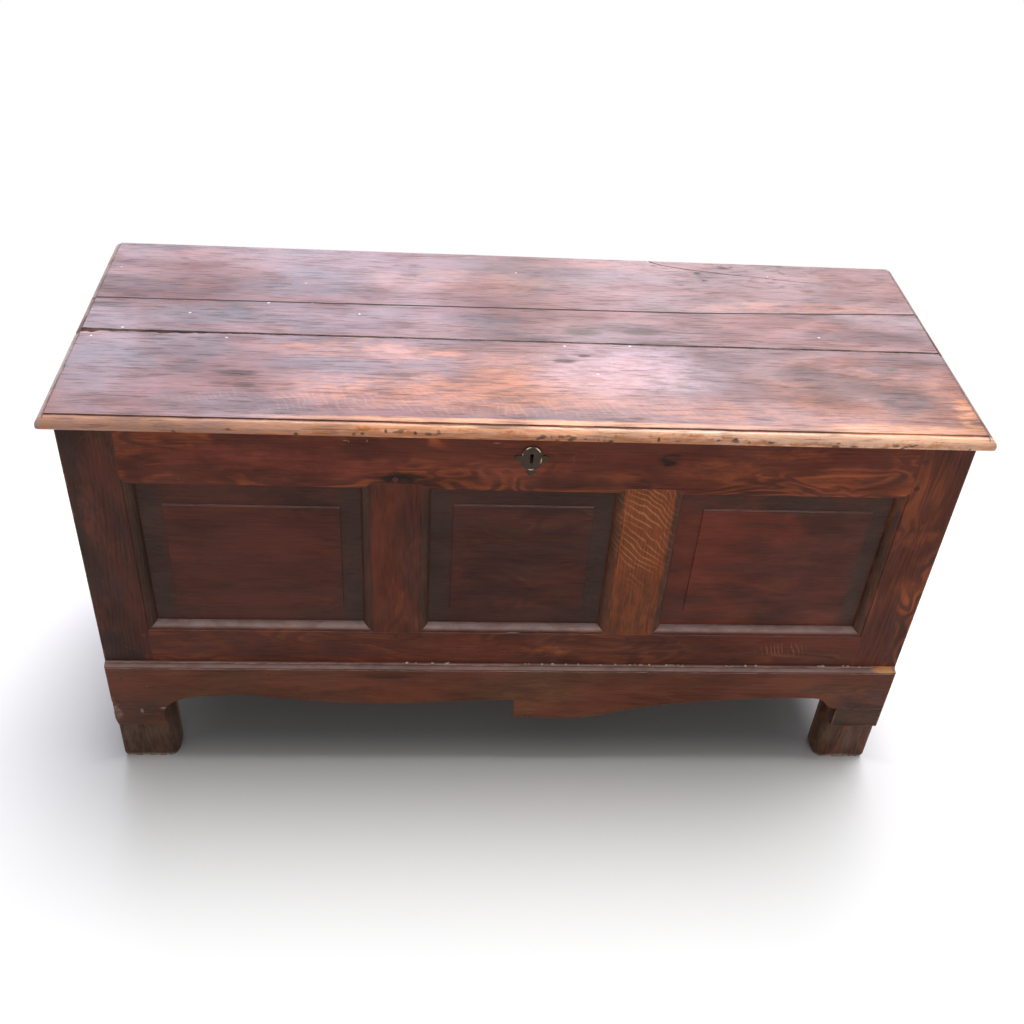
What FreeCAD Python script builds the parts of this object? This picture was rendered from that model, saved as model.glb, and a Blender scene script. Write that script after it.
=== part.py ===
import FreeCAD, Part
import Sketcher
import math
import os
import re

from FreeCAD import Placement, Rotation, Vector

# A joined, lidded chest: corner posts that run down into feet, frame-and-panel walls, a hinged board lid,
# a lock, and a shaped apron across the foot of the front. Millimetres, +Z up. The front faces -Y. The
# origin is on the floor, under the middle of the lid.

DOC = FreeCAD.newDocument("panelled_chest")

# ---------------------------------------------------------------- driving dimensions
SIZES = {
    # case
    "case_width": 1265,
    "case_depth": 476,
    "case_top": 670,
    "post_width": 89.5,
    "post_depth": 45,
    "rail_thick": 28,
    "top_rail_width": 103.5,
    "bottom_rail_width": 112.5,
    "sight_bottom": 307.5,
    "centre_sight": 264,
    "muntin_width": 100,
    "end_muntin_width": 90,
    # moulding worked on the inner edges of the front and end frames
    "mould_width": 15,
    "mould_depth": 11,
    "quirk_width": 2,
    "quirk_depth": 1.2,
    "ovolo_radius": 13,
    # grooves, mortises, tenons and pegs
    "groove_width": 8,
    "groove_depth": 9,
    "panel_slip": 1,
    "tongue_slip": 0.2,
    "tenon_length": 42,
    "end_tenon_length": 32,
    "muntin_tenon_length": 32,
    "tenon_inset": 14,
    "muntin_tenon_inset": 20,
    "mortise_gap": 1,
    "peg_radius": 4,
    "peg_stop": 2,
    "peg_proud": 0.4,
    "peg_inset": 23,
    "peg_edge": 26,
    "peg_spacing": 46,
    "fit": 0.05,
    # raised and fielded panels
    "bevel_rise": 4,
    "field_step": 2.5,
    "end_margin": 30,
    # bottom boards
    "floor_up": 10,
    "floor_thick": 12,
    "floor_gap": 0.5,
    # feet
    "foot_round": 20,
    "foot_round_stop": 25,
    "foot_back_round": 9,
    "foot_wear": 11,
    # apron: heights are drops below its top edge, which laps the bottom rail
    "apron_thick": 10,
    "apron_lap": 31.5,
    "apron_ledge": 3,
    "apron_step": 1.5,
    "apron_ovolo": 6,
    "bead_depth": 1,
    "bead_width": 1.6,
    "facing_width": 79.5,
    "left_facing_drop": 146.5,
    "facing_bevel": 24,
    "facing_toe": 2,
    "right_facing_drop": 134.9,
    "facing_joint_drop": 91.5,
    "facing_joint": 0.4,
    "knee_drop": 14,
    "arch_drop": 68.3,
    "arch_middle_drop": 84.5,
    "split_drop": 74.5,
    "pendant_drop": 117,
    "pendant_left": 9,
    "pendant_right": 100,
    "split_slant": 2,
    # lid
    "lid_thick": 22,
    "lid_front_overhang": 17,
    "lid_back_lap": 0.7,
    "lid_side_overhang": 17.5,
    "front_board": 228,
    "middle_board_left": 92,
    "middle_board_bend": 100,
    "middle_board_right": 118,
    "middle_board_bend_at": 285,
    "front_joint": 2,
    "back_joint": 1.2,
    "nose_width": 11,
    "nose_step": 1.8,
    "nose_under": 7,
    "batten_width": 46,
    "batten_thick": 20,
    "batten_bevel": 6,
    "batten_inset": 35.5,
    "batten_clear": 12,
    # hinges
    "hinge_inset": 143,
    "hinge_width": 34,
    "iron_thick": 3,
    "strap_length": 250,
    "strap_tip": 16,
    "knuckle_radius": 5,
    "knuckle_width": 12,
    "knuckle_gap": 0.4,
    "hinge_clear": 0.3,
    "hinge_pin_radius": 2.4,
    "plate_height": 84,
    # lock: heights are drops below the top of the case
    "lock_across": 5.7,
    "keyhole_drop": 30.2,
    "keyhole_tall": 15.4,
    "keyhole_radius": 2.9,
    "keyhole_slot": 4.4,
    "lock_plate_width": 112,
    "lock_plate_drop": 2,
    "lock_plate_tall": 76,
    "lock_plate_thick": 2,
    "cap_width": 84,
    "cap_drop": 8,
    "cap_tall": 58,
    "cap_deep": 17,
    "cap_wall": 1.5,
    "staple_slot": 2,
    "staple_thick": 4,
    "staple_wide": 11,
    "staple_drop": 24,
    "staple_window": 6,
    "staple_foot": 3,
    "staple_plate_width": 64,
    "staple_plate_thick": 2,
    "bolt_thick": 5,
    "bolt_tall": 9,
    "bolt_long": 34,
    "bolt_slip": 0.5,
    "bolt_back": 2,
    "bolt_travel": 9,
    "bolt_tail_width": 8,
    "bolt_tail_tall": 14,
    "guide_width": 4,
    "guide_gap": 1,
    "guide_foot": 4,
    # keyhole plate
    "plate_radius": 14.5,
    "plate_stretch": 12,
    "plate_ear": 18.3,
    "ear_radius": 5,
    "plate_drop": 24.3,
    "brass_thick": 1.6,
    # nails and pins
    "nail_shank": 1.5,
    "nail_head": 3.6,
    "flat_head": 3,
    "brad_shank": 1.2,
    "brad_head": 2.2,
    "pin_shank": 0.8,
    "pin_head": 1.8,
    "apron_brad_long": 24,
    "lock_nail_long": 14,
    "staple_nail_long": 13,
    "plate_pin_long": 9,
    "hinge_nail_long": 18,
    "strap_nail_long": 16,
    "batten_nail_long": 36,
    "rail_brad_up": 11,
    "nail_edge": 8,
    # how far a cutter runs past the wood
    "over": 1,
}

# How far each front panel's flat field lies inside its opening: left, right, bottom, top.
FIELD_MARGINS = {
    "front_panel_left": (34, 29, 35.5, 33),
    "front_panel_centre": (32, 29, 34, 24),
    "front_panel_right": (31, 28, 32.5, 24.5),
}
SIDES = ("left", "right", "bottom", "top")
for panel_name, margins in FIELD_MARGINS.items():
    for side, margin in zip(SIDES, margins):
        SIZES[f"{panel_name}_{side}"] = margin

SHEET = DOC.addObject("Spreadsheet::Sheet", "sizes")
for row, (alias, number) in enumerate(SIZES.items(), start=1):
    SHEET.set(f"A{row}", alias)
    SHEET.set(f"B{row}", str(number))
    SHEET.setAlias(f"B{row}", alias)
DOC.recompute()

# ---------------------------------------------------------------- places worked out from them
LID_DEPTH = "(case_depth + lid_front_overhang + 2 * knuckle_radius + hinge_clear + lid_back_lap)"
LID_FRONT = f"(0 - {LID_DEPTH} / 2)"
LID_BACK = f"({LID_DEPTH} / 2)"
LID_TOP = "(case_top + lid_thick)"
FRONT_Y = f"({LID_FRONT} + lid_front_overhang)"
MIDDLE_Y = f"({FRONT_Y} + case_depth / 2)"
BACK_Y = f"({FRONT_Y} + case_depth)"
PIVOT_Y = f"({BACK_Y} + knuckle_radius + hinge_clear)"
PIVOT_Z = "(case_top - knuckle_radius - hinge_clear)"
HALF_CASE = "(case_width / 2)"
FRONT_HALF = f"({HALF_CASE} - post_width)"
END_HALF = "(case_depth / 2 - post_depth)"
SIGHT_TOP = "(case_top - top_rail_width)"
RAIL_BOTTOM = "(sight_bottom - bottom_rail_width)"
FLOOR_BOTTOM = f"({RAIL_BOTTOM} + floor_up)"
APRON_TOP = f"({RAIL_BOTTOM} + apron_lap)"
APRON_FACE = f"({FRONT_Y} - apron_thick)"
GROOVE = ("mould_depth", "mould_depth + groove_width")
TONGUE_FRONT = "(mould_depth + tongue_slip)"
LOCK_BACK = f"({FRONT_Y} + rail_thick)"
LOCK_FACE = f"({LOCK_BACK} + lock_plate_thick)"
CAP_BACK = f"({LOCK_FACE} + cap_deep)"
STAPLE_Y = f"({LOCK_FACE} + cap_deep / 2)"
PLATE_Z = "(case_top - keyhole_drop - keyhole_tall / 2)"
BRASS_FACE = f"({FRONT_Y} - brass_thick)"


# ---------------------------------------------------------------- helpers
def formula(text):
    """A formula of size names as the sheet's own expression."""
    return re.sub(r"[a-z_]+", lambda word: f"sizes.{word[0]}" if word[0] in SIZES else word[0], text)


def bind(thing, name, text):
    thing.setExpression(name, formula(text))


def value(text):
    """A formula's value, for shapes that are made by Part's own functions."""
    return float(SHEET.evalExpression(formula(text)))


def place(thing, x="0", y="0", z="0"):
    for axis, text in zip("xyz", (x, y, z)):
        bind(thing, f"Placement.Base.{axis}", text)
    return thing


def block(name, x, y, z):
    """A box between pairs of formulas."""
    box = DOC.addObject("Part::Box", name)
    for side, (low, high) in zip(("Length", "Width", "Height"), (x, y, z)):
        bind(box, side, f"({high}) - ({low})")
    return place(box, x[0], y[0], z[0])


TURNS = {"x": Vector(1, 0, 0), "y": Vector(0, 1, 0), "z": Vector(0, 0, 1)}


def rod(name, axis, start, length, radius):
    """A cylinder that runs from its start along +axis."""
    cylinder = DOC.addObject("Part::Cylinder", name)
    bind(cylinder, "Radius", radius)
    bind(cylinder, "Height", length)
    cylinder.Placement = Placement(Vector(), Rotation(Vector(0, 0, 1), TURNS[axis]))
    return place(cylinder, *start)


def joined(name, *things):
    if len(things) == 1:
        return things[0]
    fusion = DOC.addObject("Part::MultiFuse", name)
    fusion.Shapes = list(things)
    fusion.Refine = True
    return fusion


def cut(name, base, *tools):
    result = DOC.addObject("Part::Cut", name)
    result.Base = base
    result.Tool = joined(f"{name}_tools", *tools)
    result.Refine = True
    return result


def compound(name, things):
    group = DOC.addObject("Part::Compound", name)
    group.Links = list(things)
    return group


def span(sign, low, high):
    """The pair of formulas, or its mirror image across zero."""
    return (low, high) if sign > 0 else (f"0 - ({high})", f"0 - ({low})")


def mirrored(name, source):
    """The same piece on the other side of the chest's middle."""
    copy = DOC.addObject("Part::Mirroring", name)
    copy.Source = source
    copy.Normal = Vector(1, 0, 0)
    return copy


def prism(name, plane, outline, depth):
    """A straight-sided outline padded towards +Y from the XZ plane, or towards +Z from the XY plane."""
    body = DOC.addObject("PartDesign::Body", name)
    sketch = body.newObject("Sketcher::SketchObject", f"{name}_outline")
    origin_plane = next(f for f in body.Origin.OriginFeatures if f.Role == f"{plane}_Plane")
    sketch.AttachmentSupport = [(origin_plane, "")]
    sketch.MapMode = "FlatFace"
    count = len(outline)
    turns = [2 * math.pi * i / count for i in range(count)]
    start = [Vector(100 * math.cos(turn), 100 * math.sin(turn), 0) for turn in turns]
    for i in range(count):
        sketch.addGeometry(Part.LineSegment(start[i], start[(i + 1) % count]))
    for i in range(count):
        sketch.addConstraint(Sketcher.Constraint("Coincident", i, 2, (i + 1) % count, 1))
    for i, point in enumerate(outline):
        for kind, drawn, text in zip(("DistanceX", "DistanceY"), (start[i].x, start[i].y), point):
            index = sketch.addConstraint(Sketcher.Constraint(kind, i, 1, drawn))
            sketch.renameConstraint(index, f"{kind}_{i}")
            bind(sketch, f"Constraints.{kind}_{i}", text)
    pad = body.newObject("PartDesign::Pad", f"{name}_pad")
    pad.Profile = sketch
    pad.Reversed = plane == "XZ"
    bind(pad, "Length", depth)
    return body


NODES = []


def node(thing, label):
    """Marks a finished piece: its label names its file."""
    thing.Label = label
    NODES.append(thing)
    return thing


# ---------------------------------------------------------------- one wall of the case
# A wall is drawn as the front is: u runs across it, its outer face is y = 0 and the wood lies behind that.
class Wall:
    def __init__(self, name, half, openings, tenon, turn, x, y, moulded=True):
        self.name = name
        self.half = half
        self.openings = openings
        self.tenon = tenon
        self.turn = turn
        self.x = x
        self.y = y
        self.moulded = moulded
        self.mould = "mould_width" if moulded else "0"

    def set_up(self, thing):
        """Turns a piece drawn on the wall to where the wall stands."""
        thing.Placement = Placement(Vector(), Rotation(Vector(0, 0, 1), self.turn))
        return place(thing, self.x, self.y)


FRONT_OPENINGS = [
    (f"0 - {FRONT_HALF}", "0 - (centre_sight / 2 + muntin_width)"),
    ("0 - centre_sight / 2", "centre_sight / 2"),
    ("centre_sight / 2 + muntin_width", FRONT_HALF),
]
END_OPENINGS = [
    (f"0 - {END_HALF}", "0 - end_muntin_width / 2"),
    ("end_muntin_width / 2", END_HALF),
]
FRONT = Wall("front", FRONT_HALF, FRONT_OPENINGS, "tenon_length", 0, "0", FRONT_Y)
BACK = Wall("back", FRONT_HALF, FRONT_OPENINGS, "tenon_length", 180, "0", BACK_Y, moulded=False)
LEFT = Wall("left", END_HALF, END_OPENINGS, "end_tenon_length", -90, f"0 - {HALF_CASE}", MIDDLE_Y)
RIGHT = Wall("right", END_HALF, END_OPENINGS, "end_tenon_length", 90, HALF_CASE, MIDDLE_Y)

TOP_TENON = (f"{SIGHT_TOP} + tenon_inset", "case_top - tenon_inset")
BOTTOM_TENON = (f"{RAIL_BOTTOM} + tenon_inset", "sight_bottom - tenon_inset")
TOP_PEGS = (f"{SIGHT_TOP} + peg_edge", f"{SIGHT_TOP} + peg_edge + peg_spacing")
BOTTOM_PEGS = ("sight_bottom - peg_edge", "sight_bottom - peg_edge - peg_spacing")


def peg_hole(name, across, up):
    return rod(name, "y", (across, "0 - over", up), "over + rail_thick - peg_stop + fit", "peg_radius + fit")


def ovolo(name, axis, across, up, inward):
    """What the moulding plane takes off one edge. The moulding starts at the outer end of the range that
    it crosses and goes inward, towards +1 or -1."""
    stock = block(f"{name}_stock", across, ("0", "mould_depth"), up)
    crossed = up if axis == "x" else across
    outer = crossed[0] if inward > 0 else crossed[1]
    centre = f"({outer}) + ({inward}) * quirk_width"
    deep = "quirk_depth + ovolo_radius"
    run = across if axis == "x" else up
    low = f"({run[0]}) - over"
    start = (low, deep, centre) if axis == "x" else (centre, deep, low)
    round_part = rod(f"{name}_round", axis, start, f"({run[1]}) - ({run[0]}) + 2 * over", "ovolo_radius")
    return cut(name, stock, round_part)


def rail(wall, which):
    """A top or bottom rail: moulded front layer mitred at each opening, back layer, tenons at both ends."""
    name = f"{wall.name}_{which}_rail"
    up = 1 if which == "top" else -1
    sight = SIGHT_TOP if up > 0 else "sight_bottom"
    outer = f"({sight}) + ({up}) * {wall.mould}"
    edge = "case_top" if up > 0 else RAIL_BOTTOM
    tenon = TOP_TENON if up > 0 else BOTTOM_TENON
    height = (sight, edge) if up > 0 else (edge, sight)
    front_of_back = "mould_depth" if wall.moulded else "0"
    layers = [
        block(f"{name}_back", (f"0 - {wall.half}", wall.half), (front_of_back, "rail_thick"), height),
        block(
            f"{name}_tenon",
            (f"0 - {wall.half} - {wall.tenon}", f"{wall.half} + {wall.tenon}"),
            GROOVE,
            tenon,
        ),
    ]
    if wall.moulded:
        outline = [
            (f"0 - {wall.half} - mould_width", edge),
            (f"{wall.half} + mould_width", edge),
        ]
        for left, right in reversed(wall.openings):
            outline += [
                (f"{right} + mould_width", outer),
                (right, sight),
                (left, sight),
                (f"{left} - mould_width", outer),
            ]
        layers.append(prism(f"{name}_face", "XZ", outline, "mould_depth"))
    groove_high = (sight, f"{sight} + groove_depth") if up > 0 else (f"{sight} - groove_depth", sight)
    cuts = [block(f"{name}_groove", (f"0 - {wall.half}", wall.half), GROOVE, groove_high)]
    if wall.moulded:
        mould_high = (sight, outer) if up > 0 else (outer, sight)
        across = (f"0 - {wall.half} - mould_width", f"{wall.half} + mould_width")
        cuts.append(ovolo(f"{name}_mould", "x", across, mould_high, -up))
    for i in range(len(wall.openings) - 1):
        low, high = wall.openings[i][1], wall.openings[i + 1][0]
        deep = f"({sight}) + ({up}) * (muntin_tenon_length + mortise_gap)"
        across = (f"{low} + muntin_tenon_inset", f"{high} - muntin_tenon_inset")
        cuts.append(block(f"{name}_mortise", across, GROOVE, (sight, deep) if up > 0 else (deep, sight)))
        cuts.append(
            peg_hole(f"{name}_peg_hole", f"(({low}) + ({high})) / 2", f"({sight}) + ({up}) * peg_inset")
        )
    for sign in (-1, 1):
        for peg in TOP_PEGS if up > 0 else BOTTOM_PEGS:
            cuts.append(peg_hole(f"{name}_peg_hole", f"({sign}) * ({wall.half} + peg_inset)", peg))
    return name, joined(f"{name}_solid", *layers), cuts


def muntin(wall, index, name):
    """The upright between two openings, tenoned into both rails."""
    low, high = wall.openings[index][1], wall.openings[index + 1][0]
    front_of_back = "mould_depth" if wall.moulded else "0"
    tall = ("sight_bottom", SIGHT_TOP)
    layers = [
        block(f"{name}_back", (low, high), (front_of_back, "rail_thick"), tall),
        block(
            f"{name}_tenon",
            (f"{low} + muntin_tenon_inset", f"{high} - muntin_tenon_inset"),
            GROOVE,
            ("sight_bottom - muntin_tenon_length", f"{SIGHT_TOP} + muntin_tenon_length"),
        ),
    ]
    if wall.moulded:
        foot, head = "sight_bottom - mould_width", f"{SIGHT_TOP} + mould_width"
        left_in, right_in = f"{low} + mould_width", f"{high} - mould_width"
        outline = [
            (left_in, foot),
            (right_in, foot),
            (high, "sight_bottom"),
            (high, SIGHT_TOP),
            (right_in, head),
            (left_in, head),
            (low, SIGHT_TOP),
            (low, "sight_bottom"),
        ]
        layers.append(prism(f"{name}_face", "XZ", outline, "mould_depth"))
    cuts = [
        block(f"{name}_groove", (low, f"{low} + groove_depth"), GROOVE, tall),
        block(f"{name}_groove", (f"{high} - groove_depth", high), GROOVE, tall),
    ]
    if wall.moulded:
        tall = (foot, head)
        cuts.append(ovolo(f"{name}_mould", "z", (low, left_in), tall, -1))
        cuts.append(ovolo(f"{name}_mould", "z", (right_in, high), tall, 1))
    for up in (f"{SIGHT_TOP} + peg_inset", "sight_bottom - peg_inset"):
        cuts.append(peg_hole(f"{name}_peg_hole", f"(({low}) + ({high})) / 2", up))
    return name, joined(f"{name}_solid", *layers), cuts


def panel(wall, index, name, margins):
    """A panel whose tongue lies in the grooves: fielded in a moulded wall, rebated behind in the back."""
    left, right = wall.openings[index]
    reach = "(groove_depth - panel_slip)"
    tongue = block(
        f"{name}_tongue",
        (f"{left} - {reach}", f"{right} + {reach}"),
        (TONGUE_FRONT, "mould_depth + groove_width - tongue_slip"),
        (f"sight_bottom - {reach}", f"{SIGHT_TOP} + {reach}"),
    )
    if not wall.moulded:
        body = block(
            f"{name}_body",
            (f"{left} + panel_slip", f"{right} - panel_slip"),
            (TONGUE_FRONT, "rail_thick - bevel_rise"),
            ("sight_bottom + panel_slip", f"{SIGHT_TOP} - panel_slip"),
        )
        return joined(f"{name}_solid", tongue, body)
    inner = {
        "x": (f"{left} + {margins[0]}", f"{right} - {margins[1]}"),
        "z": (f"sight_bottom + {margins[2]}", f"{SIGHT_TOP} - {margins[3]}"),
    }
    bevel = DOC.addObject("Part::Wedge", f"{name}_bevel")
    bounds = {
        "Ymin": f"{TONGUE_FRONT} - bevel_rise",
        "Ymax": TONGUE_FRONT,
        "Xmin": inner["x"][0],
        "Xmax": inner["x"][1],
        "Zmin": inner["z"][0],
        "Zmax": inner["z"][1],
        "X2min": f"{left} + panel_slip",
        "X2max": f"{right} - panel_slip",
        "Z2min": "sight_bottom + panel_slip",
        "Z2max": f"{SIGHT_TOP} - panel_slip",
    }
    for key, text in bounds.items():
        bind(bevel, key, text)
    field_deep = (f"{TONGUE_FRONT} - bevel_rise - field_step", TONGUE_FRONT)
    field = block(f"{name}_field", inner["x"], field_deep, inner["z"])
    return joined(f"{name}_solid", tongue, bevel, field)


def post_cuts(wall, sign, name):
    """What one wall takes out of the post at its low or high end: shoulders, moulding, groove, mortises."""
    inner = wall.half
    cuts = []
    if wall.moulded:
        outer = f"({wall.half} + mould_width)"
        head, foot = f"{SIGHT_TOP} + mould_width", "sight_bottom - mould_width"
        upper = [(outer, head), (outer, "case_top + over"), (inner, "case_top + over"), (inner, SIGHT_TOP)]
        lower = [(outer, foot), (inner, "sight_bottom"), (inner, RAIL_BOTTOM), (outer, RAIL_BOTTOM)]
        for part, outline in (("upper", upper), ("lower", lower)):
            signed = [(f"({sign}) * ({u})", v) for u, v in outline]
            cuts.append(prism(f"{name}_{part}_shoulder", "XZ", signed, "mould_depth"))
        across = span(sign, inner, outer)
        cuts.append(ovolo(f"{name}_mould", "z", across, (foot, head), -sign))
    across = span(sign, inner, f"{inner} + groove_depth")
    cuts.append(
        block(
            f"{name}_groove",
            across,
            GROOVE,
            ("sight_bottom - groove_depth", f"{SIGHT_TOP} + groove_depth"),
        )
    )
    across = span(sign, inner, f"{inner} + {wall.tenon} + mortise_gap")
    for tenon in (TOP_TENON, BOTTOM_TENON):
        cuts.append(block(f"{name}_mortise", across, GROOVE, tenon))
    for up in TOP_PEGS + BOTTOM_PEGS:
        cuts.append(peg_hole(f"{name}_peg_hole", f"({sign}) * ({inner} + peg_inset)", up))
    return wall.set_up(joined(f"{name}_wall_cuts", *cuts))


def rounding(name, axis, start, length, radius, towards):
    """What rounding one edge takes off. start is the sharp corner at the run's low end, and towards says
    on which side of it the wood lies, as +1 or -1 along the two other axes."""
    axes = [a for a in "xyz" if a != axis]
    ranges = {axis: (start["xyz".index(axis)], f"{start['xyz'.index(axis)]} + {length}")}
    centre = list(start)
    for other, way in zip(axes, towards):
        at = start["xyz".index(other)]
        inner = f"({at}) + ({way}) * ({radius})"
        outer = f"({at}) - ({way}) * over"
        ranges[other] = (outer, inner) if way > 0 else (inner, outer)
        centre["xyz".index(other)] = inner
    centre["xyz".index(axis)] = f"{start['xyz'.index(axis)]} - over"
    stock = block(f"{name}_stock", ranges["x"], ranges["y"], ranges["z"])
    return cut(name, stock, rod(f"{name}_round", axis, centre, f"{length} + 2 * over", radius))


# ---------------------------------------------------------------- corner posts
def post(front):
    """The left post of the front or of the back, with its foot worn round."""
    name = "front_post" if front else "back_post"
    outer_x, inner_x = f"0 - {HALF_CASE}", f"0 - {FRONT_HALF}"
    outer_y = FRONT_Y if front else BACK_Y
    inner_y = f"{FRONT_Y} + post_depth" if front else f"{BACK_Y} - post_depth"
    deep = (outer_y, inner_y) if front else (inner_y, outer_y)
    way = 1 if front else -1
    wood = block(f"{name}_wood", (outer_x, inner_x), deep, ("0", "case_top"))
    wall_cuts = [
        post_cuts(FRONT if front else BACK, -way, f"{name}_face"),
        post_cuts(LEFT, way, f"{name}_end"),
    ]
    tall = f"{RAIL_BOTTOM} - foot_round_stop"
    roundings = [
        rounding(f"{name}_edge", "z", (inner_x, outer_y, "0"), tall, "foot_round", (-1, way)),
        rounding(f"{name}_arris", "z", (inner_x, inner_y, "0"), tall, "foot_back_round", (-1, -way)),
        rounding(f"{name}_toe_out", "y", (outer_x, deep[0], "0"), "post_depth", "foot_wear", (1, 1)),
        rounding(f"{name}_toe_in", "y", (inner_x, deep[0], "0"), "post_depth", "foot_wear", (-1, 1)),
    ]
    return cut(name, wood, *wall_cuts, *roundings)


# ---------------------------------------------------------------- fasteners
def turned(profile, axis):
    """A solid turned about the Z axis from (radius, height) points, then stood along an axis."""
    wire = Part.makePolygon([Vector(r, 0, z) for r, z in profile + profile[:1]])
    solid = Part.Face(wire).revolve(Vector(), Vector(0, 0, 1), 360)
    solid.Placement = Placement(Vector(), Rotation(Vector(0, 0, 1), axis))
    return solid


def nail_shape(shank, head, length, axis):
    """A nail whose underside of head is at the origin. It is driven towards -axis."""
    tip, dome = 2 * shank, 0.35 * head
    driven = [(0, -length), (shank, tip - length), (shank, 0)]
    domed = [(head, 0), (0.6 * head, 0.8 * dome), (0, dome)]
    return turned(driven + domed, axis)


def fasteners(name, kind, length, axis, places):
    """A group of nails alike, and the tool that bores their holes. Places are triples of formulas."""
    shank, head = value(f"{kind}_shank"), value(HEADS[name] if name in HEADS else f"{kind}_head")
    nails = []
    bores = []
    for spot in places:
        at = Vector(*map(value, spot))
        nail = nail_shape(shank, head, value(length), axis)
        nail.translate(at)
        nails.append(nail)
        bores.append(Part.makeCylinder(shank + value("fit"), value(f"{length} + over"), at + axis, -axis))
    group = DOC.addObject("Part::Feature", name)
    group.Shape = Part.makeCompound(nails)
    tool = DOC.addObject("Part::Feature", f"{name}_bores")
    tool.Shape = Part.makeCompound(bores)
    node(group, name)
    return tool


OUT_FRONT, OUT_BACK, DOWN = Vector(0, -1, 0), Vector(0, 1, 0), Vector(0, 0, -1)
HEADS = {"lock_nails": "flat_head", "staple_nails": "flat_head"}

# Brads of the apron: in from the side of the case, and down from the apron's top.
POST_BRADS = [(22, 30.5), (58, 48.5)]
RAIL_BRADS = [250, 500]
LEFT_FACING_BRADS = [(24, 102.5), (60, 98.5)]
RIGHT_FACING_BRADS = [(26, 109.5), (62, 114.5)]
apron_places = [
    (f"({sign}) * ({HALF_CASE} - {inset})", APRON_FACE, f"{APRON_TOP} - {drop}")
    for sign, facing in ((-1, LEFT_FACING_BRADS), (1, RIGHT_FACING_BRADS))
    for inset, drop in POST_BRADS + facing
]
apron_places += [
    (f"({sign}) * ({HALF_CASE} - {inset})", APRON_FACE, f"{RAIL_BOTTOM} + rail_brad_up")
    for sign in (-1, 1)
    for inset in RAIL_BRADS
]
apron_bores = fasteners("apron_nails", "brad", "apron_brad_long", OUT_FRONT, apron_places)

lock_places = [
    (f"lock_across + ({sign}) * (lock_plate_width / 2 - nail_edge)", LOCK_FACE, up)
    for sign in (-1, 1)
    for up in (
        "case_top - lock_plate_drop - nail_edge",
        "case_top - lock_plate_drop - lock_plate_tall + nail_edge",
    )
]
lock_bores = fasteners("lock_nails", "nail", "lock_nail_long", OUT_BACK, lock_places)

plate_pin_places = [
    ("lock_across - plate_ear", BRASS_FACE, PLATE_Z),
    ("lock_across + plate_ear", BRASS_FACE, PLATE_Z),
    ("lock_across", BRASS_FACE, f"{PLATE_Z} - plate_drop"),
]
plate_pin_bores = fasteners("keyhole_plate_pins", "pin", "plate_pin_long", OUT_FRONT, plate_pin_places)

# Hinge nails: across the hinge's middle line, and down the plate or along the strap.
PLATE_NAILS = [(-8, 19), (8, 35), (0, 67)]
STRAP_NAILS = [(-8, 46), (8, 90), (-5, 142), (0, 224)]
hinge_places = [
    (f"({sign}) * ({FRONT_HALF} - hinge_inset) + ({across})", f"{BACK_Y} + iron_thick", f"{PIVOT_Z} - {drop}")
    for sign in (-1, 1)
    for across, drop in PLATE_NAILS
]
hinge_plate_bores = fasteners("hinge_plate_nails", "nail", "hinge_nail_long", OUT_BACK, hinge_places)
strap_places = [
    (f"({sign}) * ({FRONT_HALF} - hinge_inset) + ({across})", f"{BACK_Y} - {along}", "case_top - iron_thick")
    for sign in (-1, 1)
    for across, along in STRAP_NAILS
]
strap_bores = fasteners("hinge_strap_nails", "nail", "strap_nail_long", DOWN, strap_places)

# Batten nails: two through each board of the lid, in a zigzag.
BATTEN_ZIGZAG = 10
FRONT_END = f"({LID_FRONT} + front_board)"
MIDDLE_START = f"({FRONT_END} + front_joint)"
batten_nail_rows = [
    f"{LID_FRONT} + 80",
    f"{FRONT_END} - 38",
    f"{MIDDLE_START} + 24",
    f"{MIDDLE_START} + 60",
    f"{LID_BACK} - 120",
    f"{LID_BACK} - 66",
]
batten_places = [
    (
        f"({sign}) * ({FRONT_HALF} - batten_inset) + ({(-1) ** row * BATTEN_ZIGZAG})",
        along,
        "case_top - batten_thick",
    )
    for sign in (-1, 1)
    for row, along in enumerate(batten_nail_rows)
]
batten_bores = fasteners("batten_nails", "nail", "batten_nail_long", DOWN, batten_places)

staple_places = [
    (
        f"lock_across + ({sign}) * (staple_plate_width / 2 - nail_edge)",
        STAPLE_Y,
        "case_top - staple_plate_thick",
    )
    for sign in (-1, 1)
]
staple_bores = fasteners("staple_nails", "nail", "staple_nail_long", DOWN, staple_places)


# ---------------------------------------------------------------- keyhole, and grooves for the floor
def keyhole(name, y):
    """The keyhole as a tool: a round head over a straight slot."""
    head = "case_top - keyhole_drop - keyhole_radius"
    deep = f"({y[1]}) - ({y[0]})"
    round_part = rod(f"{name}_head", "y", ("lock_across", y[0], head), deep, "keyhole_radius")
    across = ("lock_across - keyhole_slot / 2", "lock_across + keyhole_slot / 2")
    slot = block(f"{name}_slot", across, y, ("case_top - keyhole_drop - keyhole_tall", head))
    return joined(name, round_part, slot)


def floor_groove(name):
    high = (FLOOR_BOTTOM, f"{FLOOR_BOTTOM} + floor_thick + 2 * tongue_slip")
    deep = ("rail_thick - groove_depth", "rail_thick + over")
    return block(name, (f"0 - {FRONT_HALF}", FRONT_HALF), deep, high)


def on_wall(wall, tool, name):
    """A tool that is placed in the chest's frame, turned back onto the wall's drawing."""
    back = DOC.addObject("Part::Feature", name)
    wall_place = Placement(Vector(0, value(wall.y), 0), Rotation(Vector(0, 0, 1), wall.turn))
    shape = tool.Shape.copy()
    shape.Placement = wall_place.inverse().multiply(shape.Placement)
    back.Shape = shape
    return back


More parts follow.
